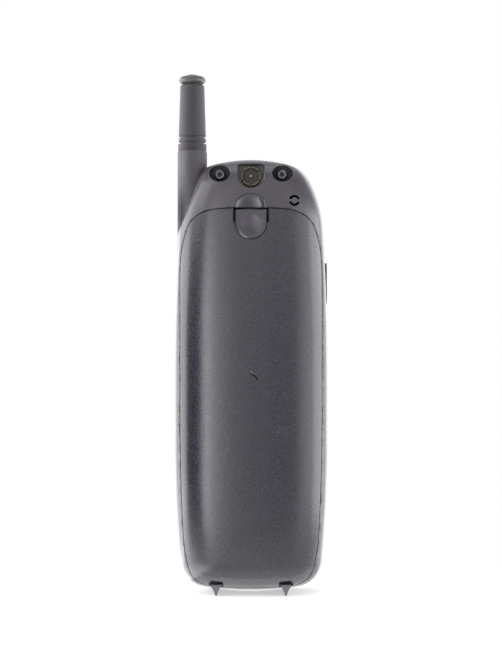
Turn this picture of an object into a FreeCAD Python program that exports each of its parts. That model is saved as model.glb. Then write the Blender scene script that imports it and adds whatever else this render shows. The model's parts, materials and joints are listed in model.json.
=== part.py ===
import FreeCAD, Part
import math
import os

# Mobile phone with a flip over its keys. Sizes are in millimetres and angles in degrees.
# The phone stands upright: +Z is up its length, the battery side faces +Y, the keys face -Y,
# and the aerial stands at +X. The two shells meet at the parting plane y = 0.

# Outer body
body_width = 52.0
body_top = 146.0
body_bottom = 0.5
rear_depth = 13.1
front_depth = 12.75
rear_power = 3.0
front_power = 3.5
top_round = 11.0
bottom_round = 12.0
shell_wall = 1.6
# An arc is its radius, in half widths of what it goes round, and the angle that it turns to.
crown_arcs = [(2.0, 13.5), (0.4808, 64.0), (1.5385, 86.5)]
base_arcs = [(3.4615, 10.5), (0.3692, 85.0)]
section_angles = (0, 12, 24, 36, 48, 60, 72, 84)

# Battery pack and the bay that holds it
pack_side = 2.1
pack_top = 129.3
pack_bottom = 2.5
pack_top_arcs = [(6.2762, 4.5), (0.5858, 30.0), (0.3556, 70.0), (1.6736, 87.0)]
pack_base_arcs = [(8.3682, 3.6), (0.4603, 36.0), (0.272, 74.0), (2.3013, 87.0)]
seam_gap = 0.18
seam_edge = 0.3
bay_floor = 4.4
bay_floor_wall = 1.4
bay_wall = 1.3
pack_lift = 0.3
tray_thickness = 1.2
pad_width = 2.6
pad_height = 5.0
cover_wall = 1.3
cell_width = 16.2
cell_height = 84.0
cell_depth = 4.3
cell_base = 22.0
cell_gap = 0.4
cell_corner = 1.6

# Release tab at the top of the pack
tab_width = 10.4
tab_gap = 0.75
tab_slot = 0.62
tab_straight = 4.2
tab_drop = 5.5
tab_line = 0.14
tab_frame = 1.5
tab_plate = 1.6
tab_pivot_drop = 6.6
knuckle_length = 6.0
tab_pivot_depth = 2.2
tab_knuckle = 1.3
tab_pin = 0.5
pivot_clearance = 0.05
pin_seat = 0.9
hook_width = 5.0
hook_depth = 5.6
hook_thickness = 0.8
hook_leg = 1.1
hook_short = 0.08
hook_gap = 0.2
hook_side_gap = 0.6
hook_swing = 1.3
catch_height = 0.7
dish_depth = 0.65
dish_radius = 3.6
dish_rise = 1.6
spring_width = 2.4
spring_strip = 0.2
spring_lift = 0.12
spring_foot = 2.1
spring_turn = 0.3
spring_tip = 2.2

# Thumb scoop, screw wells and sound port in the head
scoop_width = 10.6
scoop_rise = 4.7
scoop_depth = 1.7
well_height = 5.65
well_from_pocket = 2.625
well_from_tower = 1.075
well_floor = 6.5
well_wall = 1.2
well_floor_wall = 1.5
well_edge = 0.4
head_screw_z = 140.6
foot_screw_x = 14.5
foot_screw_z = 16.0
screw_head = 3.45
screw_head_height = 1.3
screw_head_edge = 0.35
screw_sink = 0.2
screw_spare = 1.5
screw_shank = 2.0
screw_grip = 7.5
screw_clearance = 0.15
post_radius = 2.2
post_wall = 0.8
post_gap = 0.3
drive_outer = 0.88
drive_inner = 0.62
drive_depth = 0.8
port_from_screw = 4.0
port_z = 131.6
port_outer = 1.85
port_inner = 1.05
port_span = 150.0
ringer_from_port = 0.3
ringer_z = 133.8
ringer_radius = 3.7
ringer_height = 3.0
ringer_base = 3.2
ringer_hole = 0.8
ringer_hole_depth = 0.6
ring_wall = 0.9

# Coaxial socket in its pocket
socket_z = 139.9
pocket_radius = 4.35
pocket_top = 143.7
pocket_corner = 0.9
pocket_floor = 7.4
pocket_wall = 1.1
socket_radius = 3.25
socket_bore = 2.7
socket_tip = 10.3
socket_flange = 4.2
socket_flange_height = 0.8
socket_slots = 6
socket_slot_width = 0.45
socket_slot_depth = 2.2
socket_slot_turn = 30.0
insulator_tip = 8.2
insulator_disc = 1.2
insulator_step = 0.6
pin_radius = 0.55
pin_tip = 9.6

# Aerial
aerial_inset = 6.1
aerial_y = 1.5
tower_width = 10.0
tower_depth = 15.0
tower_top = 148.9
tower_foot = 114.0
tower_front_foot = 119.0
tower_edge = 0.5
ferrule_radius = 3.3
ferrule_length = 9.3
ferrule_bore = 2.4
ferrule_floor = 1.5
stub_top = 171.5
stub_tip_radius = 4.1
stub_base_radius = 4.62
collar_radius = 4.82
collar_height = 2.5
ring_height = 1.0
groove_height = 0.9
groove_depth = 0.5
stub_wall = 1.0
stub_floor = 1.5
stub_shank_gap = 0.5
stub_edge = 0.5
rod_radius = 0.6
rod_clearance = 0.12
rod_travel = 100.0
cap_radius = 4.55
cap_height = 2.9
cap_gap = 0.7
cap_seat = 1.5
cap_flat = 0.35
stop_radius = 1.1
stop_length = 5.0
stop_gap = 0.5
tube_radius = 1.4
tube_bore = 1.2
tube_tail = 1.0
coil_radius = 2.3
coil_wire = 0.35
coil_turns = 9

# Keels under the body: they carry the phone and end in ears over the pack's lower edge
keel_x = 11.65
keel_land = 0.5
keel_waist = 1.8
keel_root = 4.2
keel_height = 3.9
keel_front = -5.0
keel_back = 10.0
keel_step = 1.6
keel_heel = 1.9
ear_back = 11.7
ear_front = 9.4
ear_clearance = 0.6
ear_side_gap = 0.3
ear_seat_gap = 0.2

# Flip over the keys
flip_top = 80.0
flip_side = 5.0
flip_radius = 8.0
flip_gap = 0.25
flip_edge = 0.4
flip_foot = 11.6
flip_foot_gap = 0.5
hinge_z = 6.8
hinge_y = -9.5
barrel_radius = 3.25
barrel_length = 30.0
barrel_gap = 0.3
barrel_wall = 1.15
hinge_pin = 1.0
hinge_pin_length = 4.0
hinge_pin_gap = 0.4
flip_open = 145.0
flip_overswing = 4.0
flip_wall = 1.5
flip_rim_depth = 3.4
panel_thickness = 1.0
panel_side = 4.5
field_side = 1.4
panel_face = 2.6
panel_gap = 0.1
magnet_radius = 2.0
magnet_thickness = 0.6

# Key deck, keys and the layers under them
deck_face = 3.8
deck_thickness = 1.4
deck_from_lens = 2.0
key_column_gap = 3.1
key_side = 0.9
key_pitch_z = 12.5
key_height = 7.2
key_corner = 1.8
key_gap = 0.25
key_proud = 0.75
key_edge = 0.35
key_lip = 0.7
key_lip_thickness = 0.6
key_play = 0.1
key_travel = 0.6
first_row = 27.0
function_row = 87.0
function_key_height = 6.2
function_proud = 0.35
membrane_thickness = 1.1
membrane_corner = 2.0
dome_air = 0.05
dome_film = 0.15
dome_radius = 3.0
dome_rise = 0.3
board_thickness = 1.0
board_inset = 2.9
board_bottom = 12.4
board_top = 143.0
shield_height = 3.0
shield_wall = 0.3
rf_shield_size = (28.0, 106.0, 134.0)
logic_shield_size = (34.0, 24.0, 92.0)

# Display
lens_side = 7.5
lens_height = 27.0
lens_z = 109.0
lens_corner = 4.0
lens_back = 1.9
lens_seat_wall = 1.6
lens_seat_margin = 1.5
window_side = 3.0
window_corner = 1.0
glass_margin = 0.9
frame_wall = 1.0
glass_thickness = 1.8
guide_thickness = 1.4

# Sound parts
earpiece_rise = 8.3
earpiece_radius = 6.0
earpiece_height = 3.0
earpiece_depth = 1.9
speaker_edge = 0.6
slot_length = 6.0
slot_height = 1.2
slot_pitch = 2.4
mesh_thickness = 0.4
mic_z = 15.7
mic_radius = 3.0
mic_height = 2.2
boot_wall = 0.8
mic_hole = 0.6
motor_radius = 2.9
motor_length = 13.0
motor_z = 17.6
motor_x = -7.0
motor_shaft = 0.5
motor_lift = 0.1
motor_foot_inset = 1.0
motor_foot_width = 3.6
weight_radius = 2.6
weight_length = 4.0
weight_gap = 0.6
weight_cut = 0.9

# Volume rocker on the side
rocker_z = 104.5
rocker_y = -4.0
rocker_length = 14.0
rocker_width = 3.0
rocker_gap = 0.3
rocker_inside = 3.5
rocker_lip = 1.0
rocker_lip_thickness = 0.6
rocker_proud = 0.08
switch_gap = 0.5

# Bottom socket and the phone's own battery contacts
socket_width = 16.0
socket_depth = 4.4
socket_y = -1.2
socket_height = 6.0
socket_wall = 1.0
socket_recess = 0.3
socket_mouth = 3.3
accessory_pins = 9
accessory_pitch = 1.4
accessory_pin = 0.2
accessory_pin_offset = 0.3
accessory_pin_inset = 0.6
accessory_tail_rise = 1.2
contact_count = 4
contact_pitch = 4.0
contact_z = 100.0
block_width = 17.0
block_height = 8.0
block_slot = 1.4
block_slot_depth = 2.0
leaf_width = 1.0
leaf_strip = 0.2
leaf_reach = 3.2
leaf_heel = 2.6
leaf_top = 0.4
spring_gap = 0.05
pad_thickness = 0.3

# Clearance round a piece set in another, how far a cut runs past a face, and tolerances
fit_gap = 0.1
over = 1.0
along_axis = 0.9
tiny = 0.01
line_tolerance = 0.002

V = FreeCAD.Vector
X, Y, Z = V(1, 0, 0), V(0, 1, 0), V(0, 0, 1)
REAR, FRONT = 1, -1
FAR = 40.0

pack_width = body_width - 2 * pack_side
aerial_x = body_width / 2 - aerial_inset
well_width = aerial_x - tower_width / 2 - well_from_tower - pocket_radius - well_from_pocket
head_screw_x = pocket_radius + well_from_pocket + well_width / 2
port_x = -head_screw_x - port_from_screw
ringer_x = port_x - ringer_from_port
flip_width = body_width - 2 * flip_side
panel_width = flip_width - 2 * panel_side
field_width = flip_width - 2 * field_side
key_width = (field_width - 2 * key_side - 2 * key_column_gap) / 3
key_pitch_x = key_width + key_column_gap
lens_width = body_width - 2 * lens_side
window_width = lens_width - 2 * window_side
window_height = lens_height - 2 * window_side
deck_top = lens_z - lens_height / 2 - deck_from_lens
earpiece_z = lens_z + lens_height / 2 + earpiece_rise
deck_y = -(front_depth - deck_face)
deck_back = deck_y + deck_thickness
lip_front = deck_back + key_play
lip_back = lip_front + key_lip_thickness
membrane_front = lip_back + key_travel + key_play
membrane_back = membrane_front + membrane_thickness
film_front = membrane_back + dome_air + dome_rise
board_front = film_front + dome_film
board_back = board_front + board_thickness
pack_face = bay_floor + pack_lift
tray_back = pack_face + tray_thickness
tab_top = pack_top - tab_gap
pivot_z = tab_top - tab_pivot_drop
pivot_y = rear_depth - tab_pivot_depth
hook_back = rear_depth - hook_depth
hook_top = pack_top - hook_short
lens_face = -(front_depth - lens_back)
lcd_front = lens_face + lens_seat_wall
speaker_seat = -(front_depth - earpiece_depth)
rocker_face = -body_width / 2 + rocker_proud
motor_y = board_back + motor_radius + motor_lift
flip_height = flip_top - flip_foot
flip_middle = flip_foot + flip_height / 2
panel_inner = -front_depth + panel_face
panel_outer = panel_inner - panel_thickness
panel_margin = (flip_width - panel_width) / 2
magnet_z = flip_top - panel_margin - 2 * magnet_radius
foot_seat = bay_floor - screw_head_height - screw_sink
head_screws = [(-head_screw_x, head_screw_z), (head_screw_x, head_screw_z)]
foot_screws = [(-foot_screw_x, foot_screw_z), (foot_screw_x, foot_screw_z)]
contact_xs = [(i - (contact_count - 1) / 2) * contact_pitch for i in range(contact_count)]
accessory_xs = [(i - (accessory_pins - 1) / 2) * accessory_pitch for i in range(accessory_pins)]
accessory_y = socket_y - accessory_pin_offset


def box(x0, x1, y0, y1, z0, z1):
    return Part.makeBox(x1 - x0, y1 - y0, z1 - z0, V(x0, y0, z0))


def rod(radius, base, axis, length):
    return Part.makeCylinder(radius, length, base, axis)


def join(shape, *others):
    return shape.fuse(list(others)).removeSplitter()


def cut(shape, *others):
    return shape.cut(list(others))


def prism(points, axis_vector):
    return Part.Face(Part.makePolygon(points + points[:1])).extrude(axis_vector)


def side_prism(points, x0, x1):
    """A (y, z) polygon made solid from x0 to x1."""
    return prism([V(x0, y, z) for y, z in points], V(x1 - x0, 0, 0))


def plate(width, height, corner, y0, y1, x=0.0, z=0.0):
    """A flat plate across the phone with rounded corners."""
    shape = box(x - width / 2, x + width / 2, y0, y1, z - height / 2, z + height / 2)
    if corner <= 0:
        return shape
    upright = [e for e in shape.Edges if abs(e.tangentAt(e.FirstParameter).y) > along_axis]
    return shape.makeFillet(min(corner, 0.49 * width, 0.49 * height), upright)


def oval(width, height, x, z, y0, y1):
    """An elliptical plug along Y."""
    major, minor = max(width, height) / 2, min(width, height) / 2
    ellipse = Part.Ellipse(V(0, 0, 0), major, minor)
    wire = Part.Wire(ellipse.toShape())
    wire.rotate(V(0, 0, 0), X, 90)
    if height > width:
        wire.rotate(V(0, 0, 0), Y, 90)
    wire.translate(V(x, y0, z))
    return Part.Face(wire).extrude(V(0, y1 - y0, 0))


def turned(points, x, y):
    """A (radius, z) outline turned about the upright line at x, y. A point with four
    values is reached by an arc through its last two."""
    edges = []
    for before, after in zip(points, points[1:] + points[:1]):
        start, end = V(before[0], 0, before[1]), V(after[0], 0, after[1])
        if len(after) == 4:
            edges.append(Part.Arc(start, V(after[2], 0, after[3]), end).toShape())
        else:
            edges.append(Part.LineSegment(start, end).toShape())
    solid = Part.Face(Part.Wire(edges)).revolve(V(0, 0, 0), Z, 360)
    solid.translate(V(x, y, 0))
    return solid


def closed_chain(arcs, half_width):
    """The arcs at their size, and the one that brings them upright at the half width."""
    across, start = 0.0, 0.0
    for radius, end in arcs:
        across += radius * (math.sin(math.radians(end)) - math.sin(math.radians(start)))
        start = end
    full = list(arcs) + [((1 - across) / (1 - math.sin(math.radians(start))), 90.0)]
    return [(radius * half_width, end) for radius, end in full]


def chain_points(arcs, factor, shrink):
    """Start, middle and end of each arc, as across and drop from the crown."""
    found = []
    across, drop, start = 0.0, 0.0, 0.0
    for radius, end in arcs:
        r = radius * factor - shrink
        spot = []
        for angle in (start, (start + end) / 2, end):
            a, b = math.radians(angle), math.radians(start)
            spot.append((across + r * (math.sin(a) - math.sin(b)), drop + r * (math.cos(b) - math.cos(a))))
        found.append(spot)
        across, drop = spot[2]
        start = end
    return found


def outline(y, half_width, top_arcs, low_arcs, top, bottom, factor=1.0, shrink=0.0):
    """A closed outline across the phone, of arcs that run into each other."""
    upper = chain_points(closed_chain(top_arcs, half_width), factor, shrink)
    lower = chain_points(closed_chain(low_arcs, half_width), factor, shrink)
    high, low = top - shrink, bottom + shrink
    edges = []

    def arc(*points):
        edges.append(Part.Arc(*points).toShape())

    def up(p, side=1):
        return V(side * p[0], y, high - p[1])

    def down(p, side=1):
        return V(side * p[0], y, low + p[1])

    arc(up(upper[0][2], -1), up((0, 0)), up(upper[0][2]))
    for a, b, c in upper[1:]:
        arc(up(a), up(b), up(c))
    edges.append(Part.LineSegment(up(upper[-1][2]), down(lower[-1][2])).toShape())
    for a, b, c in reversed(lower[1:]):
        arc(down(c), down(b), down(a))
    arc(down(lower[0][2]), down((0, 0)), down(lower[0][2], -1))
    for a, b, c in lower[1:]:
        arc(down(a, -1), down(b, -1), down(c, -1))
    edges.append(Part.LineSegment(down(lower[-1][2], -1), up(upper[-1][2], -1)).toShape())
    for a, b, c in reversed(upper[1:]):
        arc(up(c, -1), up(b, -1), up(a, -1))
    return Part.Wire(edges)


def body_half(side, shrink=0.0):
    """One half of the body: its section is a superellipse from the parting plane to the face."""
    depth, power = (rear_depth, rear_power) if side == REAR else (front_depth, front_power)
    last = math.sin(math.radians(section_angles[-1])) ** (2 / power)
    wires = []
    for angle in section_angles:
        factor = math.cos(math.radians(angle)) ** (2 / power)
        rise = math.sin(math.radians(angle)) ** (2 / power) / last
        wires.append(outline(side * rise * (depth - shrink), body_width / 2, crown_arcs, base_arcs,
                             body_top - top_round * (1 - factor),
                             body_bottom + bottom_round * (1 - factor), factor, shrink))
    return Part.makeLoft(wires, True, False)


def body_prism(shrink, y0, y1):
    wire = outline(y0, body_width / 2, crown_arcs, base_arcs, body_top, body_bottom, 1.0, shrink)
    return Part.Face(wire).extrude(V(0, y1 - y0, 0))


def pack_prism(grow, y0, y1):
    """The pack's outline, grown or shrunk by an amount, made solid along Y."""
    wire = outline(y0, pack_width / 2, pack_top_arcs, pack_base_arcs, pack_top, pack_bottom, 1.0, -grow)
    return Part.Face(wire).extrude(V(0, y1 - y0, 0))


def tab_prism(grow, y0, y1):
    """The D-shaped outline of the release tab."""
    half = tab_width / 2 + grow
    top, waist = tab_top + grow, tab_top - tab_straight
    foot = waist - tab_drop - grow
    corners = [V(-half, y0, waist), V(-half, y0, top), V(half, y0, top), V(half, y0, waist)]
    edges = [Part.LineSegment(a, b).toShape() for a, b in zip(corners, corners[1:])]
    edges.append(Part.Arc(corners[3], V(0, y0, foot), corners[0]).toShape())
    return Part.Face(Part.Wire(edges)).extrude(V(0, y1 - y0, 0))


def star(x, z, y0, y1):
    """Six-lobe drive recess."""
    middle = (drive_outer + drive_inner) / 2

    def spot(radius, angle):
        a = math.radians(angle)
        return V(x + radius * math.cos(a), y0, z + radius * math.sin(a))

    edges = []
    for lobe in range(6):
        base = 60 * lobe
        start, end, following = spot(middle, base - 15), spot(middle, base + 15), spot(middle, base + 45)
        edges.append(Part.Arc(start, spot(drive_outer, base), end).toShape())
        edges.append(Part.Arc(end, spot(drive_inner, base + 30), following).toShape())
    return Part.Face(Part.Wire(edges)).extrude(V(0, y1 - y0, 0))


def sector(x, z, inner, outer, middle_angle, span, y0, y1):
    """A curved slot along Y, part of a ring."""
    def spot(radius, angle):
        a = math.radians(angle)
        return V(x + radius * math.cos(a), y0, z + radius * math.sin(a))

    low, high = middle_angle - span / 2, middle_angle + span / 2
    edges = [Part.Arc(spot(inner, low), spot(inner, middle_angle), spot(inner, high)).toShape(),
             Part.LineSegment(spot(inner, high), spot(outer, high)).toShape(),
             Part.Arc(spot(outer, high), spot(outer, middle_angle), spot(outer, low)).toShape(),
             Part.LineSegment(spot(outer, low), spot(inner, low)).toShape()]
    return Part.Face(Part.Wire(edges)).extrude(V(0, y1 - y0, 0))


def pocket_prism(grow, y0, y1):
    """U-shaped pocket of the coaxial socket: round below, flat above with rounded corners."""
    r, top, corner = pocket_radius + grow, pocket_top + grow, pocket_corner + grow
    bend = corner * (1 - math.sqrt(0.5))
    low, inner = top - corner, r - corner
    edges = [Part.LineSegment(V(-r, y0, socket_z), V(-r, y0, low)).toShape(),
             Part.Arc(V(-r, y0, low), V(bend - r, y0, top - bend), V(-inner, y0, top)).toShape(),
             Part.LineSegment(V(-inner, y0, top), V(inner, y0, top)).toShape(),
             Part.Arc(V(inner, y0, top), V(r - bend, y0, top - bend), V(r, y0, low)).toShape(),
             Part.LineSegment(V(r, y0, low), V(r, y0, socket_z)).toShape(),
             Part.Arc(V(r, y0, socket_z), V(0, y0, socket_z - r), V(-r, y0, socket_z)).toShape()]
    return Part.Face(Part.Wire(edges)).extrude(V(0, y1 - y0, 0))


def tower(grow, foot, top):
    """Oval column that carries the aerial."""
    ellipse = Part.Ellipse(V(0, 0, 0), tower_depth / 2 + grow, tower_width / 2 + grow)
    wire = Part.Wire(ellipse.toShape())
    wire.rotate(V(0, 0, 0), Z, 90)
    wire.translate(V(aerial_x, aerial_y, foot))
    return Part.Face(wire).extrude(V(0, 0, top - foot))


def keel(side, outline_yz):
    """A keel whose flanks curve in towards its crest."""
    edges = []

    def spot(half, z, sign):
        return V(side * keel_x + sign * half, keel_front, z)

    middle = (keel_waist / 2, keel_height * 0.5)
    land, root = keel_land / 2, keel_root / 2
    edges.append(Part.LineSegment(spot(land, 0, -1), spot(land, 0, 1)).toShape())
    edges.append(Part.Arc(spot(land, 0, 1), spot(*middle, 1), spot(root, keel_height, 1)).toShape())
    edges.append(Part.LineSegment(spot(root, keel_height, 1), spot(root, keel_height, -1)).toShape())
    edges.append(Part.Arc(spot(root, keel_height, -1), spot(*middle, -1), spot(land, 0, -1)).toShape())
    ridge = Part.Face(Part.Wire(edges)).extrude(V(0, ear_back - keel_front, 0))
    reach = side * keel_x
    return ridge.common(side_prism(outline_yz, reach - keel_root, reach + keel_root))


def scoop(grow):
    """Bowl above the release tab."""
    ball = Part.makeSphere(1.0, V(0, 0, 0), Y)
    matrix = FreeCAD.Matrix()
    matrix.scale(scoop_width / 2 + grow, scoop_depth + grow, scoop_rise + grow)
    bowl = ball.transformGeometry(matrix)
    bowl.translate(V(0, rear_depth, pack_top))
    return bowl


def screw_holes(y0, y1, spots, radius):
    return [rod(radius, V(x, y0, z), Y, y1 - y0) for x, z in spots]


def accessory_opening(grow, z0, z1):
    return box(-socket_width / 2 - grow, socket_width / 2 + grow, socket_y - socket_depth / 2 - grow,
               socket_y + socket_depth / 2 + grow, z0, z1)


def on_line(wire, point):
    """Whether a point lies over or under a flat outline that stands across the phone."""
    level = wire.Vertexes[0].Y
    return wire.distToShape(Part.Vertex(point.x, level, point.z))[0] < line_tolerance


def rounded(shape, tool, radius, y0, y1):
    """Round the edges that a cut or plug along Y leaves on the outer skin between y0 and y1."""
    wires = [f.OuterWire for f in tool.Faces if abs(f.BoundBox.YLength) < tiny]
    found = []
    for edge in shape.Edges:
        half_way = (edge.FirstParameter + edge.LastParameter) / 2
        middle = edge.valueAt(half_way)
        if edge.Degenerated or not y0 < middle.y < y1:
            continue
        if abs(edge.tangentAt(half_way).y) < along_axis and on_line(wires[0], middle):
            found.append(edge)
    return shape.makeFillet(radius, found)


def rear_housing():
    outer = body_half(REAR)
    inner = body_half(REAR, shell_wall)
    bay = pack_prism(0.0, bay_floor, FAR)
    blocks = [pack_prism(bay_wall, bay_floor - bay_floor_wall, FAR), scoop(well_floor_wall),
              pocket_prism(pocket_wall, pocket_floor - well_floor_wall, FAR)]
    for x, z in head_screws:
        blocks.append(oval(well_width + 2 * well_wall, well_height + 2 * well_wall, x, z, 0, FAR))
    for x, z in foot_screws:
        blocks.append(rod(post_radius + post_wall, V(x, 0, z), Y, bay_floor))
    ring = rod(ringer_radius + ring_wall, V(ringer_x, ringer_base, ringer_z), Y, FAR)
    ring = cut(ring, rod(ringer_radius, V(ringer_x, 0, ringer_z), Y, FAR))
    cavity = cut(inner, *blocks, ring)
    shell = cut(outer, cavity, bay)
    under = box(-FAR, FAR, -FAR, 0, 0, tower_front_foot)
    column = cut(tower(0, tower_foot, tower_top), body_half(FRONT), inner, bay, under)
    shell = join(shell, column)
    cuts = [scoop(0.0), pocket_prism(0.0, pocket_floor, FAR)]
    cuts.append(rod(socket_radius + fit_gap, V(0, 0, socket_z), Y, pocket_floor + over))
    for x, z in head_screws:
        cuts.append(oval(well_width, well_height, x, z, well_floor, FAR))
    cuts += screw_holes(-over, well_floor + over, head_screws, screw_shank / 2 + screw_clearance)
    cuts += screw_holes(-over, bay_floor + over, foot_screws, screw_shank / 2 + screw_clearance)
    cuts += [rod(screw_head / 2 + screw_clearance, V(x, foot_seat, z), Y, FAR) for x, z in foot_screws]
    for middle_angle in (90, 270):
        cuts.append(sector(port_x, port_z, port_inner, port_outer, middle_angle, port_span, ringer_base, FAR))
    cuts.append(rod(ferrule_radius, V(aerial_x, aerial_y, tower_top - ferrule_length), Z, FAR))
    cuts.append(rod(tube_radius, V(aerial_x, aerial_y, body_top / 2), Z, FAR + body_top / 2))
    reach = hook_width / 2 + hook_side_gap
    cuts.append(box(-reach, reach, hook_back - hook_swing, hook_back + hook_thickness + hook_gap,
                    pack_top - over, pack_top + catch_height))
    across, up = block_width / 2 + fit_gap, block_height / 2 + fit_gap
    cuts.append(box(-across, across, 0, bay_floor + over, contact_z - up, contact_z + up))
    cuts.append(accessory_opening(fit_gap, body_bottom - over, body_bottom + socket_height))
    shell = cut(shell, *cuts)
    shell = rounded(shell, pocket_prism(0.0, 0, 1), well_edge, pocket_floor + over, FAR)
    for x, z in head_screws:
        mouth = oval(well_width, well_height, x, z, 0, 1)
        shell = rounded(shell, mouth, well_edge, well_floor + over, FAR)
    level = [e for e in shell.Edges if abs(e.CenterOfMass.z - tower_top) < tiny]
    shell = shell.makeFillet(tower_edge, [e for e in level if e.Length > 2 * tower_depth])
    skid = [(0, 0), (keel_back, 0), (ear_back, keel_height), (ear_front, keel_height),
            (ear_front, pack_bottom - ear_seat_gap), (bay_floor, keel_step), (0, keel_step)]
    return join(shell, keel(1, skid), keel(-1, skid))


def key_spots():
    """Name, place and height of each key."""
    names = ["key_1", "key_2", "key_3", "key_4", "key_5", "key_6", "key_7", "key_8", "key_9",
             "key_star", "key_0", "key_hash"]
    spots = []
    for i, name in enumerate(names):
        row, column = divmod(i, 3)
        spots.append((name, (column - 1) * key_pitch_x, first_row + (3 - row) * key_pitch_z, key_height))
    for column, name in enumerate(["key_send", "key_menu", "key_end"]):
        spots.append((name, (column - 1) * key_pitch_x, function_row, function_key_height))
    return spots


def key(x, z, height):
    face = deck_y - key_proud
    if z > flip_top:
        face = -front_depth - function_proud
    top = plate(key_width, height, key_corner, face, lip_front, x, z)
    rim = [e for e in top.Edges if abs(e.CenterOfMass.y - face) < tiny]
    top = top.makeFillet(key_edge, rim)
    lip = plate(key_width + 2 * key_lip, height + 2 * key_lip, key_corner, lip_front, lip_back, x, z)
    return join(top, lip)


def flip_outline(grow, y0, y1):
    """Outline of the flip: a plate, and a narrower neck down to the hinge."""
    main = plate(flip_width + 2 * grow, flip_height + 2 * grow, flip_radius + grow, y0, y1, 0, flip_middle)
    half = barrel_length / 2 + grow
    neck = box(-half, half, y0, y1, hinge_z, flip_foot + 2 * flip_radius)
    return join(main, neck)


def hinge_room(grow, half_length):
    """Space that the barrel and the opening flip pass through."""
    radius = barrel_radius + barrel_gap + grow
    swing = math.radians(flip_open + flip_overswing)
    along = (-math.sin(swing), math.cos(swing))
    out = (-along[1], along[0])
    reach = 2.5 * barrel_radius
    corners = [(hinge_y, hinge_z), (hinge_y + radius * out[0], hinge_z + radius * out[1])]
    corners.append((corners[1][0] + reach * along[0], corners[1][1] + reach * along[1]))
    corners += [(hinge_y - 2 * reach, corners[2][1]), (hinge_y - 2 * reach, hinge_z)]
    drum = rod(radius, V(-half_length, hinge_y, hinge_z), X, 2 * half_length)
    return join(drum, side_prism(corners, -half_length, half_length))


def front_housing():
    outer = body_half(FRONT)
    inner = body_half(FRONT, shell_wall)
    half_barrel = barrel_length / 2 + flip_gap
    deck = box(-FAR, FAR, deck_y, deck_back, hinge_z, deck_top)
    across, up = lens_width / 2 + lens_seat_margin, lens_height / 2 + lens_seat_margin
    lens_seat = box(-across, across, -FAR, lcd_front, lens_z - up, lens_z + up)
    across = flip_width / 2 + flip_wall
    flip_well = box(-across, across, -FAR, deck_back, hinge_z, flip_top + flip_wall)
    blocks = [deck, lens_seat, flip_well, hinge_room(barrel_wall, half_barrel + barrel_wall)]
    for x, z in head_screws:
        blocks.append(rod(post_radius, V(x, -front_depth, z), Y, front_depth))
    for x, z in foot_screws:
        blocks.append(rod(post_radius, V(x, deck_y, z), Y, -deck_y))
    rim = earpiece_depth + earpiece_height
    seat = rod(earpiece_radius + ring_wall, V(0, -front_depth, earpiece_z), Y, rim)
    seat = cut(seat, rod(earpiece_radius + fit_gap, V(0, speaker_seat, earpiece_z), Y, FAR))
    shell = cut(outer, cut(inner, *blocks, seat))
    foot_room = flip_outline(flip_gap, -FAR, deck_y)
    foot_room.translate(V(0, 0, -flip_foot_gap))
    cuts = [flip_outline(flip_gap, -FAR, deck_y), foot_room, hinge_room(0.0, half_barrel)]
    cuts.append(plate(lens_width, lens_height, lens_corner, -FAR, lens_face, 0, lens_z))
    cuts.append(plate(window_width, window_height, window_corner, -FAR, 0, 0, lens_z))
    for name, x, z, height in key_spots():
        width, height = key_width + 2 * key_gap, height + 2 * key_gap
        cuts.append(plate(width, height, key_corner + key_gap, -FAR, deck_back, x, z))
    for i in (-1, 0, 1):
        slot_z = earpiece_z + i * slot_pitch
        cuts.append(plate(slot_length, slot_height, slot_height / 2, -FAR, speaker_seat + over, 0, slot_z))
    cuts.append(rod(mic_hole, V(0, -FAR, mic_z), Y, FAR))
    reach = half_barrel + hinge_pin_length / 2
    cuts.append(rod(hinge_pin, V(-reach, hinge_y, hinge_z), X, 2 * reach))
    pilot = screw_shank / 2
    cuts += screw_holes(well_floor - screw_grip - screw_spare, over, head_screws, pilot)
    cuts += screw_holes(foot_seat - screw_grip - screw_spare, over, foot_screws, pilot)
    cuts.append(accessory_opening(fit_gap, body_bottom - over, body_bottom + socket_height))
    cuts.append(rocker_slot())
    cuts.append(rod(ferrule_radius, V(aerial_x, aerial_y, tower_top - ferrule_length), Z, FAR))
    shell = cut(shell, *cuts)
    skid = [(keel_front, 0), (0, 0), (0, keel_step), (keel_front, keel_heel)]
    return join(shell, keel(1, skid), keel(-1, skid))


def rocker_slot():
    """Slot in the side of the front shell for the volume rocker."""
    length, width = rocker_length + 2 * rocker_gap, rocker_width + 2 * rocker_gap
    return box(-FAR, rocker_face + rocker_inside, rocker_y - width / 2, rocker_y + width / 2,
               rocker_z - length / 2, rocker_z + length / 2)


def volume_rocker():
    low, high = rocker_y - rocker_width / 2, rocker_y + rocker_width / 2
    half, lip_x = rocker_length / 2, rocker_face + rocker_inside
    stem = box(rocker_face, lip_x, low, high, rocker_z - half, rocker_z + half)
    ends = [e for e in stem.Edges if abs(e.tangentAt(e.FirstParameter).x) > along_axis]
    stem = stem.makeFillet(0.49 * rocker_width, ends)
    half = half + rocker_lip
    lip = box(lip_x, lip_x + rocker_lip_thickness, low, high, rocker_z - half, rocker_z + half)
    return join(stem, lip)


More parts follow.
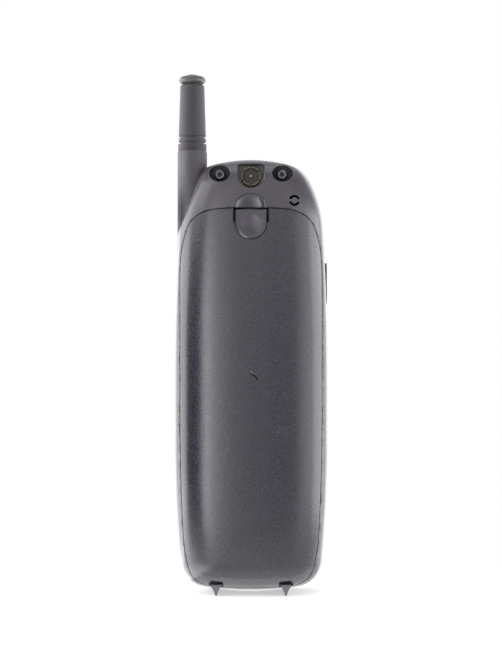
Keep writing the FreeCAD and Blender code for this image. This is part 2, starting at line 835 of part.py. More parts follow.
def battery_cover():
    solid = body_half(REAR).common(pack_prism(-seam_gap, tray_back, FAR))
    hollow = body_half(REAR, cover_wall).common(pack_prism(-seam_gap - cover_wall, tray_back - over, FAR))
    half = tab_width / 2 + tab_slot
    waist = tab_top - tab_straight
    rim = half + tab_frame
    block = box(-rim, rim, 0, FAR, waist - tab_drop - tab_frame, FAR + body_top)
    solid = rounded(solid, pack_prism(-seam_gap, 0, 1), seam_edge, tray_back + over, FAR)
    solid = cut(solid, cut(hollow, block))
    slots = box(-half, half, tray_back - over, FAR, waist, pack_top + over)
    cuts = [tab_prism(tab_line, tray_back, FAR), slots, latch_pin()]
    reach = keel_root / 2 + ear_side_gap
    notch_top = keel_height + ear_clearance + ear_seat_gap
    for side in (1, -1):
        middle = side * keel_x
        cuts.append(box(middle - reach, middle + reach, ear_front - ear_clearance, FAR, 0, notch_top))
    return cut(solid, *cuts)


def battery_tray():
    solid = pack_prism(-seam_gap, pack_face, tray_back).common(body_half(REAR))
    return cut(solid, *contact_pads())


def contact_pads():
    """Plates that lie flush in the pack's inner face."""
    half = pad_width / 2
    low, high = contact_z - pad_height / 2, contact_z + pad_height / 2
    return [box(x - half, x + half, pack_face, pack_face + pad_thickness, low, high) for x in contact_xs]


def battery_contacts():
    return Part.makeCompound(contact_pads())


def battery_cells():
    offset = (cell_gap + cell_width) / 2
    cells = []
    for side in (-1, 1):
        low, high = side * offset - cell_width / 2, side * offset + cell_width / 2
        cell = box(low, high, tray_back, tray_back + cell_depth, cell_base, cell_base + cell_height)
        upright = [e for e in cell.Edges if abs(e.tangentAt(e.FirstParameter).z) > along_axis]
        cells.append(cell.makeFillet(cell_corner, upright))
    return Part.makeCompound(cells)


def battery_latch():
    skin = body_half(REAR).common(tab_prism(0.0, rear_depth - tab_plate, FAR))
    half = hook_width / 2
    leg = box(-half, half, hook_back, rear_depth - tab_plate, tab_top - hook_leg, tab_top)
    nose = box(-half, half, hook_back, hook_back + hook_thickness, tab_top - hook_leg, hook_top)
    half = knuckle_length / 2
    knuckle = rod(tab_knuckle, V(-half, pivot_y, pivot_z), X, 2 * half)
    shape = join(skin, leg, nose, knuckle)
    sphere_radius = (dish_radius ** 2 + dish_depth ** 2) / (2 * dish_depth)
    dish = Part.makeSphere(sphere_radius, V(0, rear_depth - dish_depth + sphere_radius, pivot_z + dish_rise))
    hole = rod(tab_pin + pivot_clearance, V(-half - over, pivot_y, pivot_z), X, 2 * (half + over))
    return cut(shape, dish, hole)


def latch_pin():
    half = tab_width / 2 + tab_slot + pin_seat
    return rod(tab_pin, V(-half, pivot_y, pivot_z), X, 2 * half)


def latch_spring():
    """Leaf under the tab: it bears on the tray beside the pivot and on the tab near its top."""
    low, under = tray_back + spring_lift, rear_depth - tab_plate
    foot, turn, tip = pivot_z - spring_foot, pivot_z + spring_turn, tab_top - spring_tip
    line = [(low, foot), (low, turn + spring_strip), (under, tip), (under, tip - 1.4 * spring_strip),
            (low + spring_strip, turn), (low + spring_strip, foot)]
    return side_prism(line, -spring_width / 2, spring_width / 2)


def housing_screws():
    screws = []
    for spots, seat in ((head_screws, well_floor), (foot_screws, foot_seat)):
        for x, z in spots:
            head = rod(screw_head / 2, V(x, seat, z), Y, screw_head_height)
            top = [e for e in head.Edges if abs(e.CenterOfMass.y - seat - screw_head_height) < tiny]
            head = head.makeFillet(screw_head_edge, top)
            shank = rod(screw_shank / 2, V(x, seat - screw_grip, z), Y, screw_grip)
            drive = star(x, z, seat + screw_head_height - drive_depth, seat + screw_head_height + over)
            screws.append(cut(join(head, shank), drive))
    return Part.makeCompound(screws)


def rf_connector_shell():
    tube = rod(socket_radius, V(0, board_back, socket_z), Y, socket_tip - board_back)
    flange = rod(socket_flange, V(0, board_back, socket_z), Y, socket_flange_height)
    tube = join(tube, flange)
    mouth = rod(socket_bore, V(0, insulator_tip - insulator_disc, socket_z), Y, FAR)
    core = rod(socket_bore - insulator_step, V(0, board_back - over, socket_z), Y, FAR)
    slots = []
    for i in range(socket_slots):
        half = socket_slot_width / 2
        slot = box(0, FAR, socket_tip - socket_slot_depth, FAR, -half, half)
        slot.rotate(V(0, 0, 0), Y, i * 360 / socket_slots + socket_slot_turn)
        slot.translate(V(0, 0, socket_z))
        slots.append(slot)
    return cut(tube, mouth, core, *slots)


def rf_connector_insulator():
    shoulder = insulator_tip - insulator_disc
    core = rod(socket_bore - insulator_step, V(0, board_back, socket_z), Y, shoulder - board_back)
    disc = rod(socket_bore, V(0, shoulder, socket_z), Y, insulator_disc)
    return cut(join(core, disc), rod(pin_radius, V(0, board_back - over, socket_z), Y, FAR))


def rf_connector_pin():
    pin = rod(pin_radius, V(0, board_back, socket_z), Y, pin_tip - board_back)
    tip = [e for e in pin.Edges if abs(e.CenterOfMass.y - pin_tip) < tiny]
    return pin.makeFillet(0.8 * pin_radius, tip)


def antenna_ferrule():
    base = tower_top - ferrule_length
    solid = rod(ferrule_radius, V(aerial_x, aerial_y, base), Z, ferrule_length)
    bore = rod(ferrule_bore, V(aerial_x, aerial_y, base + ferrule_floor), Z, FAR)
    return cut(solid, bore, rod(rod_radius + rod_clearance, V(aerial_x, aerial_y, base - over), Z, FAR))


def antenna_stub():
    base = tower_top
    collar_top = base + collar_height
    ring_base = collar_top + groove_height
    ring_top = ring_base + ring_height
    taper_base = ring_top + groove_height
    waist = stub_base_radius - groove_depth
    hole = rod_radius + rod_clearance
    shank = base - ferrule_length + ferrule_floor + stub_shank_gap
    room_base = base + stub_floor
    room_top = stub_top - 2 * stub_wall
    room = stub_tip_radius - stub_wall
    rim, middle = stub_top - stub_edge, 0.3 * stub_edge
    points = [(hole, shank), (ferrule_bore, shank), (ferrule_bore, base), (collar_radius, base),
              (collar_radius, collar_top), (waist, collar_top), (waist, ring_base),
              (stub_base_radius, ring_base), (stub_base_radius, ring_top), (waist, ring_top),
              (waist, taper_base), (stub_base_radius, taper_base), (stub_tip_radius, rim),
              (stub_tip_radius - stub_edge, stub_top, stub_tip_radius - middle, stub_top - middle),
              (hole, stub_top), (hole, room_top), (room, room_top), (room, room_base), (hole, room_base)]
    return turned(points, aerial_x, aerial_y)


def antenna_helix():
    base = tower_top + stub_floor + coil_wire
    height = stub_top - 2 * stub_wall - coil_wire - base
    helix = Part.makeHelix(height / coil_turns, height, coil_radius)
    profile = Part.Wire(Part.Circle(V(coil_radius, 0, 0), Y, coil_wire).toShape())
    coil = Part.Wire(helix.Edges).makePipeShell([profile], True, True)
    coil.translate(V(aerial_x, aerial_y, base))
    return coil


def antenna_cap():
    base = stub_top + cap_gap
    top = base + cap_height
    neck = 0.62 * cap_radius
    wide = base + 0.32 * cap_height
    points = [(0, base), (neck, base), (cap_radius, wide, 0.93 * cap_radius, base + 0.08 * cap_height),
              (0.6 * cap_radius, top - 0.25 * cap_height, 0.9 * cap_radius, base + 0.62 * cap_height),
              (cap_flat, top, 0.33 * cap_radius, top - 0.05 * cap_height), (0, top)]
    solid = turned(points, aerial_x, aerial_y)
    return cut(solid, rod(rod_radius, V(aerial_x, aerial_y, base - over), Z, over + cap_seat))


def rod_foot():
    """Height of the rod's lower end with the aerial pushed in."""
    return tower_top - ferrule_length - rod_travel - stop_length - stop_gap


def antenna_whip():
    foot = rod_foot()
    return rod(rod_radius, V(aerial_x, aerial_y, foot), Z, stub_top + cap_gap + cap_seat - foot)


def whip_stop():
    sleeve = rod(stop_radius, V(aerial_x, aerial_y, rod_foot()), Z, stop_length)
    return cut(sleeve, rod(rod_radius, V(aerial_x, aerial_y, rod_foot() - over), Z, stop_length + 2 * over))


def whip_tube():
    base = rod_foot() - tube_tail
    top = tower_top - ferrule_length
    sleeve = rod(tube_radius, V(aerial_x, aerial_y, base), Z, top - base)
    return cut(sleeve, rod(tube_bore, V(aerial_x, aerial_y, base - over), Z, top - base + 2 * over))


def flip_cover():
    outer = body_half(FRONT)
    rim = -front_depth + flip_rim_depth
    leaf = flip_outline(0.0, -FAR, rim).common(outer)
    rim_width = flip_width - field_width
    field = plate(field_width, flip_height - rim_width, flip_radius - rim_width / 2, panel_inner, FAR,
                  0, flip_middle)
    leaf = cut(leaf, field, panel_plate(0.0, panel_outer, FAR))
    leaf = cut(leaf, box(-FAR, FAR, hinge_y, FAR, 0, hinge_z))
    leaf = rounded(leaf, flip_outline(0.0, 0, 1), flip_edge, -FAR, rim - flip_edge)
    barrel = rod(barrel_radius, V(-barrel_length / 2, hinge_y, hinge_z), X, barrel_length)
    shape = join(leaf, barrel)
    bore = hinge_pin + pivot_clearance
    depth = hinge_pin_length / 2 + hinge_pin_gap
    for side in (-1, 1):
        end = side * barrel_length / 2
        start = min(end, end - side * depth)
        shape = cut(shape, rod(bore, V(start, hinge_y, hinge_z), X, depth))
    return shape


def panel_plate(gap, y0, y1):
    """Outline of the flip's inner panel, drawn in by a gap."""
    return plate(panel_width - 2 * gap, flip_height - 2 * panel_margin - 2 * gap,
                 flip_radius - panel_margin / 2 - gap, y0, y1, 0, flip_middle)


def flip_inner_panel():
    panel = panel_plate(panel_gap, panel_outer, panel_inner)
    return cut(panel, rod(magnet_radius, V(0, panel_outer - over, magnet_z), Y, magnet_thickness + over))


def flip_magnet():
    return rod(magnet_radius, V(0, panel_outer, magnet_z), Y, magnet_thickness)


def flip_hinge_pins():
    pins = []
    for side in (-1, 1):
        middle = side * (barrel_length / 2 + flip_gap)
        pins.append(rod(hinge_pin, V(middle - hinge_pin_length / 2, hinge_y, hinge_z), X, hinge_pin_length))
    return Part.makeCompound(pins)


def display_lens():
    blank = plate(lens_width - fit_gap, lens_height - fit_gap, lens_corner, -FAR, lens_face, 0, lens_z)
    return blank.common(body_half(FRONT))


def frame_box(grow, y0, y1):
    """A block behind the window, larger than it all round by an amount."""
    half_width, half_height = window_width / 2 + grow, window_height / 2 + grow
    return box(-half_width, half_width, y0, y1, lens_z - half_height, lens_z + half_height)


def lcd_frame():
    ledge = lcd_front + glass_thickness + guide_thickness
    solid = frame_box(glass_margin + fit_gap + frame_wall, lcd_front, board_front)
    room = frame_box(glass_margin + fit_gap, lcd_front - over, ledge)
    return cut(solid, room, frame_box(-2 * frame_wall, ledge - over, board_front + over))


def lcd_glass():
    return frame_box(glass_margin, lcd_front, lcd_front + glass_thickness)


def backlight_guide():
    start = lcd_front + glass_thickness
    return frame_box(glass_margin, start, start + guide_thickness)


def earpiece_parts():
    mesh = rod(earpiece_radius, V(0, speaker_seat, earpiece_z), Y, mesh_thickness)
    back = speaker_seat + mesh_thickness + earpiece_height
    speaker = rod(earpiece_radius, V(0, back - earpiece_height, earpiece_z), Y, earpiece_height)
    top = [e for e in speaker.Edges if abs(e.CenterOfMass.y - back) < tiny]
    return mesh, speaker.makeFillet(speaker_edge, top)


def board():
    blank = body_prism(board_inset, board_front, board_back)
    blank = blank.common(box(-FAR, FAR, board_front, board_back, board_bottom, board_top))
    spots = head_screws + foot_screws
    holes = screw_holes(board_front - over, board_back + over, spots, post_radius + post_gap)
    half = rocker_length / 2 + rocker_lip + switch_gap
    reach = rocker_face + rocker_inside + rocker_lip_thickness + switch_gap
    bite = box(-FAR, reach, -FAR, FAR, rocker_z - half, rocker_z + half)
    return cut(blank, bite, *holes)


def dome_sheet():
    reach, half = key_pitch_x + key_width / 2, key_width / 2
    film = box(-reach, reach, film_front, film_front + dome_film, first_row - key_height, deck_top)
    ball_radius = (dome_radius ** 2 + dome_rise ** 2) / (2 * dome_rise)
    domes = []
    for name, x, z, height in key_spots():
        ball = Part.makeSphere(ball_radius, V(x, film_front - dome_rise + ball_radius, z))
        low, high = film_front - 2 * dome_rise, film_front + dome_film / 2
        room = box(x - half, x + half, low, high, z - half, z + half)
        domes.append(ball.common(room))
    return join(film, *domes)


def keypad_membrane():
    width = 2 * key_pitch_x + key_width + 2 * key_lip
    low, high = first_row - key_height, deck_top
    return plate(width, high - low, membrane_corner, membrane_front, membrane_back, 0, (low + high) / 2)


def shield_can(width, z0, z1):
    half, top = width / 2, board_back + shield_height
    can = box(-half, half, board_back, top, z0, z1)
    half = half - shield_wall
    room = box(-half, half, board_back - over, top - shield_wall, z0 + shield_wall, z1 - shield_wall)
    return cut(can, room)


def ringer():
    can = rod(ringer_radius, V(ringer_x, ringer_base, ringer_z), Y, ringer_height)
    top = ringer_base + ringer_height
    return cut(can, rod(ringer_hole, V(ringer_x, top - ringer_hole_depth, ringer_z), Y, over))


def vibrator_motor():
    end = motor_x + motor_length
    half = motor_foot_width / 2
    can = rod(motor_radius, V(motor_x, motor_y, motor_z), X, motor_length)
    foot = box(motor_x + motor_foot_inset, end - motor_foot_inset, board_back, motor_y,
               motor_z - half, motor_z + half)
    shaft = rod(motor_shaft, V(end, motor_y, motor_z), X, weight_gap + weight_length)
    return join(can, foot, shaft)


def vibrator_weight():
    start = motor_x + motor_length + weight_gap
    end = start + weight_length
    disc = rod(weight_radius, V(start, motor_y, motor_z), X, weight_length)
    half = box(start - over, end + over, motor_y - FAR, motor_y + FAR, motor_z - FAR, motor_z + weight_cut)
    bore = rod(motor_shaft + pivot_clearance, V(start - over, motor_y, motor_z), X, weight_length + 2 * over)
    return cut(disc.common(half), bore)


def microphone():
    return rod(mic_radius, V(0, deck_back + boot_wall, mic_z), Y, mic_height)


def mic_boot():
    sleeve = rod(mic_radius + boot_wall, V(0, deck_back, mic_z), Y, mic_height + boot_wall)
    room = rod(mic_radius, V(0, deck_back + boot_wall, mic_z), Y, FAR)
    return cut(sleeve, room, rod(mic_hole, V(0, deck_back - over, mic_z), Y, FAR))


def accessory_connector():
    base = body_bottom + socket_recess
    solid = accessory_opening(0.0, base, body_bottom + socket_height)
    mouth = accessory_opening(-socket_wall, base - over, base + socket_mouth)
    half, low, high = accessory_pin, accessory_y - accessory_pin, accessory_y + accessory_pin
    slots = [box(x - half, x + half, low, high, base, FAR) for x in accessory_xs]
    return cut(solid, mouth, *slots)


def accessory_contacts():
    """Square contacts that run up through the socket and bend over onto the board."""
    base = body_bottom + socket_recess + accessory_pin_inset
    half, tail_z = accessory_pin, board_bottom + accessory_tail_rise
    front, back = accessory_y - half, accessory_y + half
    line = [(front, base), (back, base), (back, tail_z + half), (board_back, tail_z + half),
            (board_back, tail_z - half), (front, tail_z - half)]
    return Part.makeCompound([side_prism(line, x - half, x + half) for x in accessory_xs])


def contact_block():
    across, up = block_width / 2, block_height / 2
    solid = box(-across, across, board_back, bay_floor, contact_z - up, contact_z + up)
    half, low = block_slot / 2, bay_floor - block_slot_depth
    bottom, top = contact_z - leaf_reach, contact_z + leaf_reach
    slots = [box(x - half, x + half, low, FAR, bottom, top) for x in contact_xs]
    return cut(solid, *slots)


def battery_springs():
    """Bent leaves in the slots of the contact block, each crest just short of its pad."""
    low, crest = bay_floor - block_slot_depth, pack_face - spring_gap
    foot, heel = contact_z - leaf_reach, contact_z + leaf_heel
    line = [(low, foot), (low, heel), (crest, contact_z + leaf_top), (crest, contact_z - leaf_top),
            (crest - leaf_strip, contact_z - leaf_top), (crest - leaf_strip, contact_z + leaf_top / 2),
            (low + leaf_strip, heel - leaf_top), (low + leaf_strip, foot)]
    return Part.makeCompound([side_prism(line, x - leaf_width / 2, x + leaf_width / 2) for x in contact_xs])


def pieces():
    """Every piece of the phone, by name."""
    mesh, speaker = earpiece_parts()
    shells = {"rear_housing": rear_housing(), "front_housing": front_housing()}
    screen = {"display_lens": display_lens(), "lcd_frame": lcd_frame(), "lcd_glass": lcd_glass(),
              "backlight_guide": backlight_guide()}
    circuit = {"main_board": board(), "rf_shield": shield_can(*rf_shield_size),
               "logic_shield": shield_can(*logic_shield_size), "keypad_membrane": keypad_membrane(),
               "dome_sheet": dome_sheet()}
    sound = {"earpiece_mesh": mesh, "earpiece_speaker": speaker, "ringer": ringer(),
             "microphone": microphone(), "mic_boot": mic_boot()}
    buzzer = {"vibrator_motor": vibrator_motor(), "vibrator_weight": vibrator_weight()}
    socket = {"rf_connector_shell": rf_connector_shell(), "rf_connector_insulator": rf_connector_insulator(),
              "rf_connector_pin": rf_connector_pin()}
    aerial = {"antenna_ferrule": antenna_ferrule(), "antenna_stub": antenna_stub(),
              "antenna_helix": antenna_helix(), "whip_tube": whip_tube(), "antenna_whip": antenna_whip(),
              "antenna_cap": antenna_cap(), "whip_stop": whip_stop()}
    fittings = {"housing_screws": housing_screws(), "accessory_connector": accessory_connector(),
                "accessory_contacts": accessory_contacts(), "contact_block": contact_block(),
                "battery_springs": battery_springs(), "volume_rocker": volume_rocker()}
    battery = {"battery_cover": battery_cover(), "battery_tray": battery_tray(),
               "battery_cells": battery_cells(), "battery_contacts": battery_contacts(),
               "battery_latch": battery_latch(), "latch_pin": latch_pin(), "latch_spring": latch_spring()}
    flip = {"flip_cover": flip_cover(), "flip_inner_panel": flip_inner_panel(), "flip_magnet": flip_magnet(),
            "flip_hinge_pins": flip_hinge_pins()}
    keys = {name: key(x, z, height) for name, x, z, height in key_spots()}
    found = {}
    for group in (shells, screen, circuit, sound, buzzer, socket, aerial, fittings, battery, flip, keys):
        found.update(group)
    return found


def main():
    os.makedirs("parts", exist_ok=True)
    for name, shape in pieces().items():
        shape.exportStep("parts/" + name + ".step")


main()
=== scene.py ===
import json
import math

import bmesh
import bpy
from mathutils import Matrix, Vector

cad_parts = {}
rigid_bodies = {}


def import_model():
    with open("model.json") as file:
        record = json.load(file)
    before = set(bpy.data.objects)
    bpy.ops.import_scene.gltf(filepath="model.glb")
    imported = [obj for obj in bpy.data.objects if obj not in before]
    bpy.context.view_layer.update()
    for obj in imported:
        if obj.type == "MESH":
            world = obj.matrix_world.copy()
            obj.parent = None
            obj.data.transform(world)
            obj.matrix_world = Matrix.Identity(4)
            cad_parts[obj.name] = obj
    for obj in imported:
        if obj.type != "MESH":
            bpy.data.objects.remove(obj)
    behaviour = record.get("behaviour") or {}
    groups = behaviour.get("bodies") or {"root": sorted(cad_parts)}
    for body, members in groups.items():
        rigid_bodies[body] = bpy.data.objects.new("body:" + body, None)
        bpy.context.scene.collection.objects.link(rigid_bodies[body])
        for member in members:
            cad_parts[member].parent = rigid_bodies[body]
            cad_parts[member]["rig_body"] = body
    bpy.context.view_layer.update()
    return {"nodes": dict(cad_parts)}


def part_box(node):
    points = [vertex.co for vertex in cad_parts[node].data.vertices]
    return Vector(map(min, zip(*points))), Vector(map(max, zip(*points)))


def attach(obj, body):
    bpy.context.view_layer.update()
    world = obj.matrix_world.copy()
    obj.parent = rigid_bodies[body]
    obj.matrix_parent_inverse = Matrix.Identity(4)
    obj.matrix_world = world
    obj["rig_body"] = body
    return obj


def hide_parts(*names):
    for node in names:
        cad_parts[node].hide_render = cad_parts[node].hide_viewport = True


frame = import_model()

nodes = frame["nodes"]


# Circuit board: green glass-epoxy laminate cut to the inside of the body, with two folded tinplate
# cans soldered over its radio and logic parts. The shells clamp it between them.

def colour(red, green, blue):
    """A colour read off a paint chart, 0 to 255, made linear for the shader."""
    def linear(value):
        value /= 255
        return value / 12.92 if value <= 0.04045 else ((value + 0.055) / 1.055) ** 2.4
    return (linear(red), linear(green), linear(blue), 1.0)


def place(tree, kind, inputs=None, **settings):
    """Puts a node in a tree with its settings and inputs. An input that is a socket is joined to it."""
    node = tree.nodes.new(kind)
    for name, value in settings.items():
        setattr(node, name, value)
    for name, value in (inputs or {}).items():
        if isinstance(value, bpy.types.NodeSocket):
            tree.links.new(value, node.inputs[name])
        else:
            node.inputs[name].default_value = value
    return node


def given_by(tree, kind, inputs=None, **settings):
    """What a node in a tree puts out first."""
    return place(tree, kind, inputs, **settings).outputs[0]


def feed(node, **sockets):
    """Joins what other nodes give to a node's sockets, such as Base_Color."""
    for label, value in sockets.items():
        node.id_data.links.new(value, node.inputs[label.replace("_", " ")])


def figured(tree, operation, *values, **settings):
    """The result of one sum in a tree, such as MULTIPLY."""
    return given_by(tree, "ShaderNodeMath", dict(enumerate(values)), operation=operation, **settings)


def vectored(tree, operation, *values):
    """The result of one sum with places or directions in a tree."""
    summed = place(tree, "ShaderNodeVectorMath", dict(enumerate(values)), operation=operation)
    return summed.outputs["Value" if operation in ("LENGTH", "DISTANCE", "DOT_PRODUCT") else "Vector"]


def scaled(tree, direction, times):
    """A place, direction or colour that is multiplied by one value."""
    return given_by(tree, "ShaderNodeVectorMath", {0: direction, "Scale": times}, operation="SCALE")


def ranged(tree, value, start, end, low=0.0, high=1.0):
    """Low to high as a value runs from start to end, and held there past both."""
    return given_by(tree, "ShaderNodeMapRange", {
        "Value": value, "From Min": start, "From Max": end, "To Min": low, "To Max": high})


def varied(tree, value, middle, spread):
    """Follows the value of a noise, up to a spread either side of a middle. Most of a noise lies
    between 0.3 and 0.7."""
    return ranged(tree, value, 0.3, 0.7, middle - spread, middle + spread)


def spot_on(tree):
    """The place of the point that is shaded, in the object's own frame."""
    return place(tree, "ShaderNodeTexCoord").outputs["Object"]


def noise(tree, where, scale, detail=2.0, **more):
    """Soft noise at a place, with so many spots in a metre, broken up by so much detail."""
    return given_by(tree, "ShaderNodeTexNoise", {
        "Vector": where, "Scale": scale, "Detail": detail, **more})


def finish(name, **sockets):
    """A material whose shader has these sockets set, such as Base_Color. Gives all three."""
    material = bpy.data.materials.new(name)
    material.use_nodes = True
    tree = material.node_tree
    tree.nodes.clear()
    settings = {label.replace("_", " "): value for label, value in sockets.items()}
    shader = place(tree, "ShaderNodeBsdfPrincipled", settings)
    place(tree, "ShaderNodeOutputMaterial", {"Surface": shader.outputs["BSDF"]})
    return material, tree, shader


def shader_group(name, inputs, outputs):
    """An empty shader group with named sockets. Gives the group, its inputs and its output node."""
    tree = bpy.data.node_groups.new(name, "ShaderNodeTree")
    for label, kind, value in inputs:
        socket = tree.interface.new_socket(label, in_out="INPUT", socket_type="NodeSocket" + kind)
        socket.default_value = value
    for label, kind in outputs:
        tree.interface.new_socket(label, in_out="OUTPUT", socket_type="NodeSocket" + kind)
    return tree, place(tree, "NodeGroupInput").outputs, place(tree, "NodeGroupOutput")


# Mottle: the slight unevenness of any moulded, rolled or plated surface.
mottle, given, result = shader_group(
    "mottle", [("Colour", "Color", (0.5, 0.5, 0.5, 1)), ("Spots per metre", "Float", 2000.0),
               ("Contrast", "Float", 0.1)], [("Colour", "Color"), ("Value", "Float")])
spots = noise(mottle, spot_on(mottle), given["Spots per metre"], Roughness=0.55)
factor = ranged(mottle, spots, 0.25, 0.75, figured(mottle, "SUBTRACT", 1.0, given["Contrast"]),
                figured(mottle, "ADD", 1.0, given["Contrast"]))
feed(result, Colour=scaled(mottle, given["Colour"], factor), Value=spots)


def grouped(tree, group, **inputs):
    """Places a shader group in a material, with its inputs, such as Spots_per_metre."""
    node = tree.nodes.new("ShaderNodeGroup")
    node.node_tree = group
    for label, value in inputs.items():
        socket = node.inputs[label.replace("_", " ")]
        if isinstance(value, bpy.types.NodeSocket):
            tree.links.new(value, socket)
        else:
            socket.default_value = value
    return node.outputs


def raised(tree, height, depth):
    """A surface that stands out where a height says, to a depth in metres."""
    return given_by(tree, "ShaderNodeBump", {"Height": height, "Distance": depth, "Strength": 1.0})


def mottled(name, base, spots_per_metre, contrast, bump=0.0, rough_spread=0.05, **sockets):
    """A finish whose colour, roughness and surface vary in spots of one size."""
    material, tree, shader = finish(name, **sockets)
    spots = grouped(tree, mottle, Colour=colour(*base), Spots_per_metre=spots_per_metre,
                    Contrast=contrast)
    rough = varied(tree, spots["Value"], sockets["Roughness"], rough_spread)
    feed(shader, Base_Color=spots["Colour"], Roughness=rough)
    if bump:
        feed(shader, Normal=raised(tree, spots["Value"], bump))
    return material


def dress(material, *names):
    """Gives CAD pieces that stay as they are their finish."""
    for name in names:
        mesh = nodes[name].data
        mesh.materials.clear()
        mesh.materials.append(material)


laminate = mottled("glass_epoxy_laminate", (38, 92, 58), 900.0, 0.12, 0.00001, Roughness=0.38)
tinplate = mottled("bright_tinplate", (190, 192, 196), 700.0, 0.06, 0.000008,
                   Metallic=1.0, Roughness=0.32)
dress(laminate, "main_board")
dress(tinplate, "rf_shield", "logic_shield")


# Under the keys: a pale film that holds the snap domes, and over it one sheet of grey silicone
# rubber with a plunger for each key. Both lie loose between the board and the front shell.

film = mottled("polyester_film", (196, 200, 204), 400.0, 0.04, Roughness=0.22)
silicone = mottled("grey_silicone_rubber", (118, 121, 126), 1500.0, 0.06, 0.00001, Roughness=0.62)
dress(film, "dome_sheet")
dress(silicone, "keypad_membrane")


# Display: a grey-green liquid crystal cell in a black moulded frame, on an acrylic light guide, all
# behind a clear acrylic lens glued into the front shell. A black border is printed on the lens's back.

guide_acrylic = mottled("light_guide_acrylic", (222, 226, 216), 300.0, 0.03, Roughness=0.3)
frame_black = mottled("black_frame_plastic", (34, 34, 37), 1800.0, 0.1, 0.00001, Roughness=0.5)
cell_glass = mottled("liquid_crystal_glass", (126, 137, 112), 5200.0, 0.03, Roughness=0.16,
                     Coat_Weight=0.6, Coat_Roughness=0.05)
dress(guide_acrylic, "backlight_guide")
dress(frame_black, "lcd_frame")
dress(cell_glass, "lcd_glass")

lens_clear, tree, shader = finish("clear_acrylic", Roughness=0.03, IOR=1.49, Transmission_Weight=1.0)
haze = grouped(tree, mottle, Colour=colour(250, 251, 250), Spots_per_metre=420.0, Contrast=0.02)
feed(shader, Base_Color=haze["Colour"])


def set_up(name, data):
    """Puts a mesh, letters, a lamp or a camera in the scene as an object."""
    made = bpy.data.objects.new(name, data)
    bpy.context.scene.collection.objects.link(made)
    return made


def piece_of(mesh, name, body, material=None, replaced=()):
    """Makes a finished mesh a piece that rides on a body."""
    mesh.name = name
    if material is not None:
        mesh.materials.clear()
        mesh.materials.append(material)
    made = set_up(name, mesh)
    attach(made, body)
    if replaced:
        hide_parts(*replaced)
    return made


touching = 2e-7                          # how close two corners of a skin are the same one
near_enough = math.radians(25)           # how far a corner's own shade may turn from its face


def worked_out(made):
    """An object with all that its modifiers do to it."""
    bpy.context.view_layer.update()
    return made.evaluated_get(bpy.context.evaluated_depsgraph_get())


def smooth_copy(node, name, material, sharp=32.0, facing=None):
    """A copy of a CAD piece whose loose triangles are merged, so that its skin shades as one. Where
    facing gives the way that the true skin faces at a corner, the corner shades that way."""
    mesh = nodes[node].data.copy()
    form = bmesh.new()
    form.from_mesh(mesh)
    bmesh.ops.remove_doubles(form, verts=form.verts, dist=touching)
    bmesh.ops.dissolve_degenerate(form, edges=form.edges, dist=touching)
    for face in form.faces:
        face.smooth = True
    for edge in form.edges:
        edge.smooth = edge.is_manifold and edge.calc_face_angle(math.pi) < math.radians(sharp)
    form.to_mesh(mesh)
    form.free()
    if "custom_normal" in mesh.attributes:
        mesh.attributes.remove(mesh.attributes["custom_normal"])
    made = piece_of(mesh, name, nodes[node]["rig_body"], material, (node,))
    even = made.modifiers.new("even_shading", "WEIGHTED_NORMAL")
    even.keep_sharp = True
    if facing:
        normals = [tuple(corner.vector) for corner in worked_out(made).data.corner_normals]
        for face in mesh.polygons:
            for corner in face.loop_indices:
                true = facing(mesh.vertices[mesh.loops[corner].vertex_index].co)
                if true and true.angle(face.normal) < near_enough:
                    normals[corner] = tuple(true)
        made.modifiers.clear()
        mesh.normals_split_custom_set(normals)
    return made


smooth_copy("display_lens", "lens", lens_clear)


def turned_out(mesh):
    """Turns the faces of a closed mesh outwards."""
    form = bmesh.new()
    form.from_mesh(mesh)
    bmesh.ops.recalc_face_normals(form, faces=form.faces)
    form.to_mesh(mesh)
    form.free()


def rounded_ring(outer, inner, outer_corner, inner_corner, steps=8):
    """Two matching outlines with rounded corners, as points across and up, outer then inner."""
    outlines = []
    for (half_x, half_z), radius in ((outer, outer_corner), (inner, inner_corner)):
        points = []
        for side_x, side_z, start in ((1, 1, 0), (-1, 1, 90), (-1, -1, 180), (1, -1, 270)):
            for i in range(steps + 1):
                turn = math.radians(start + 90 * i / steps)
                points.append((side_x * (half_x - radius) + radius * math.cos(turn),
                               side_z * (half_z - radius) + radius * math.sin(turn)))
        outlines.append(points)
    return outlines


def plate_ring(outlines, middle, front, back):
    """A flat ring across the phone between two outlines, closed all round, from front to back."""
    mesh = bpy.data.meshes.new("ring")
    verts, count = [], len(outlines[0])
    for y in (front, back):
        for points in outlines:
            verts += [(middle[0] + x, y, middle[1] + z) for x, z in points]
    faces = []
    for i in range(count):
        j = (i + 1) % count
        faces.append((i, j, count + j, count + i))
        faces.append((2 * count + i, 3 * count + i, 3 * count + j, 2 * count + j))
        faces.append((i, 2 * count + i, 2 * count + j, j))
        faces.append((count + i, count + j, 3 * count + j, 3 * count + i))
    mesh.from_pydata(verts, [], faces)
    turned_out(mesh)
    return mesh


border_ink = mottled("black_border_ink", (20, 20, 22), 2400.0, 0.08, Roughness=0.45)
border_half, window_half = (0.0183, 0.0133), (0.0147, 0.0097)     # across and up
border_corner, window_corner = 0.0038, 0.0012
lens_middle, ink_front, ink_back = (0.0, 0.109), -0.01093, -0.01087
border = plate_ring(rounded_ring(border_half, window_half, border_corner, window_corner),
                    lens_middle, ink_front, ink_back)
piece_of(border, "lens_border", "phone", border_ink)


# Sound parts: a moving-coil earpiece behind a woven dust cloth, a round ringer, and a microphone
# capsule in a rubber boot. They drop into rings moulded in the shells.

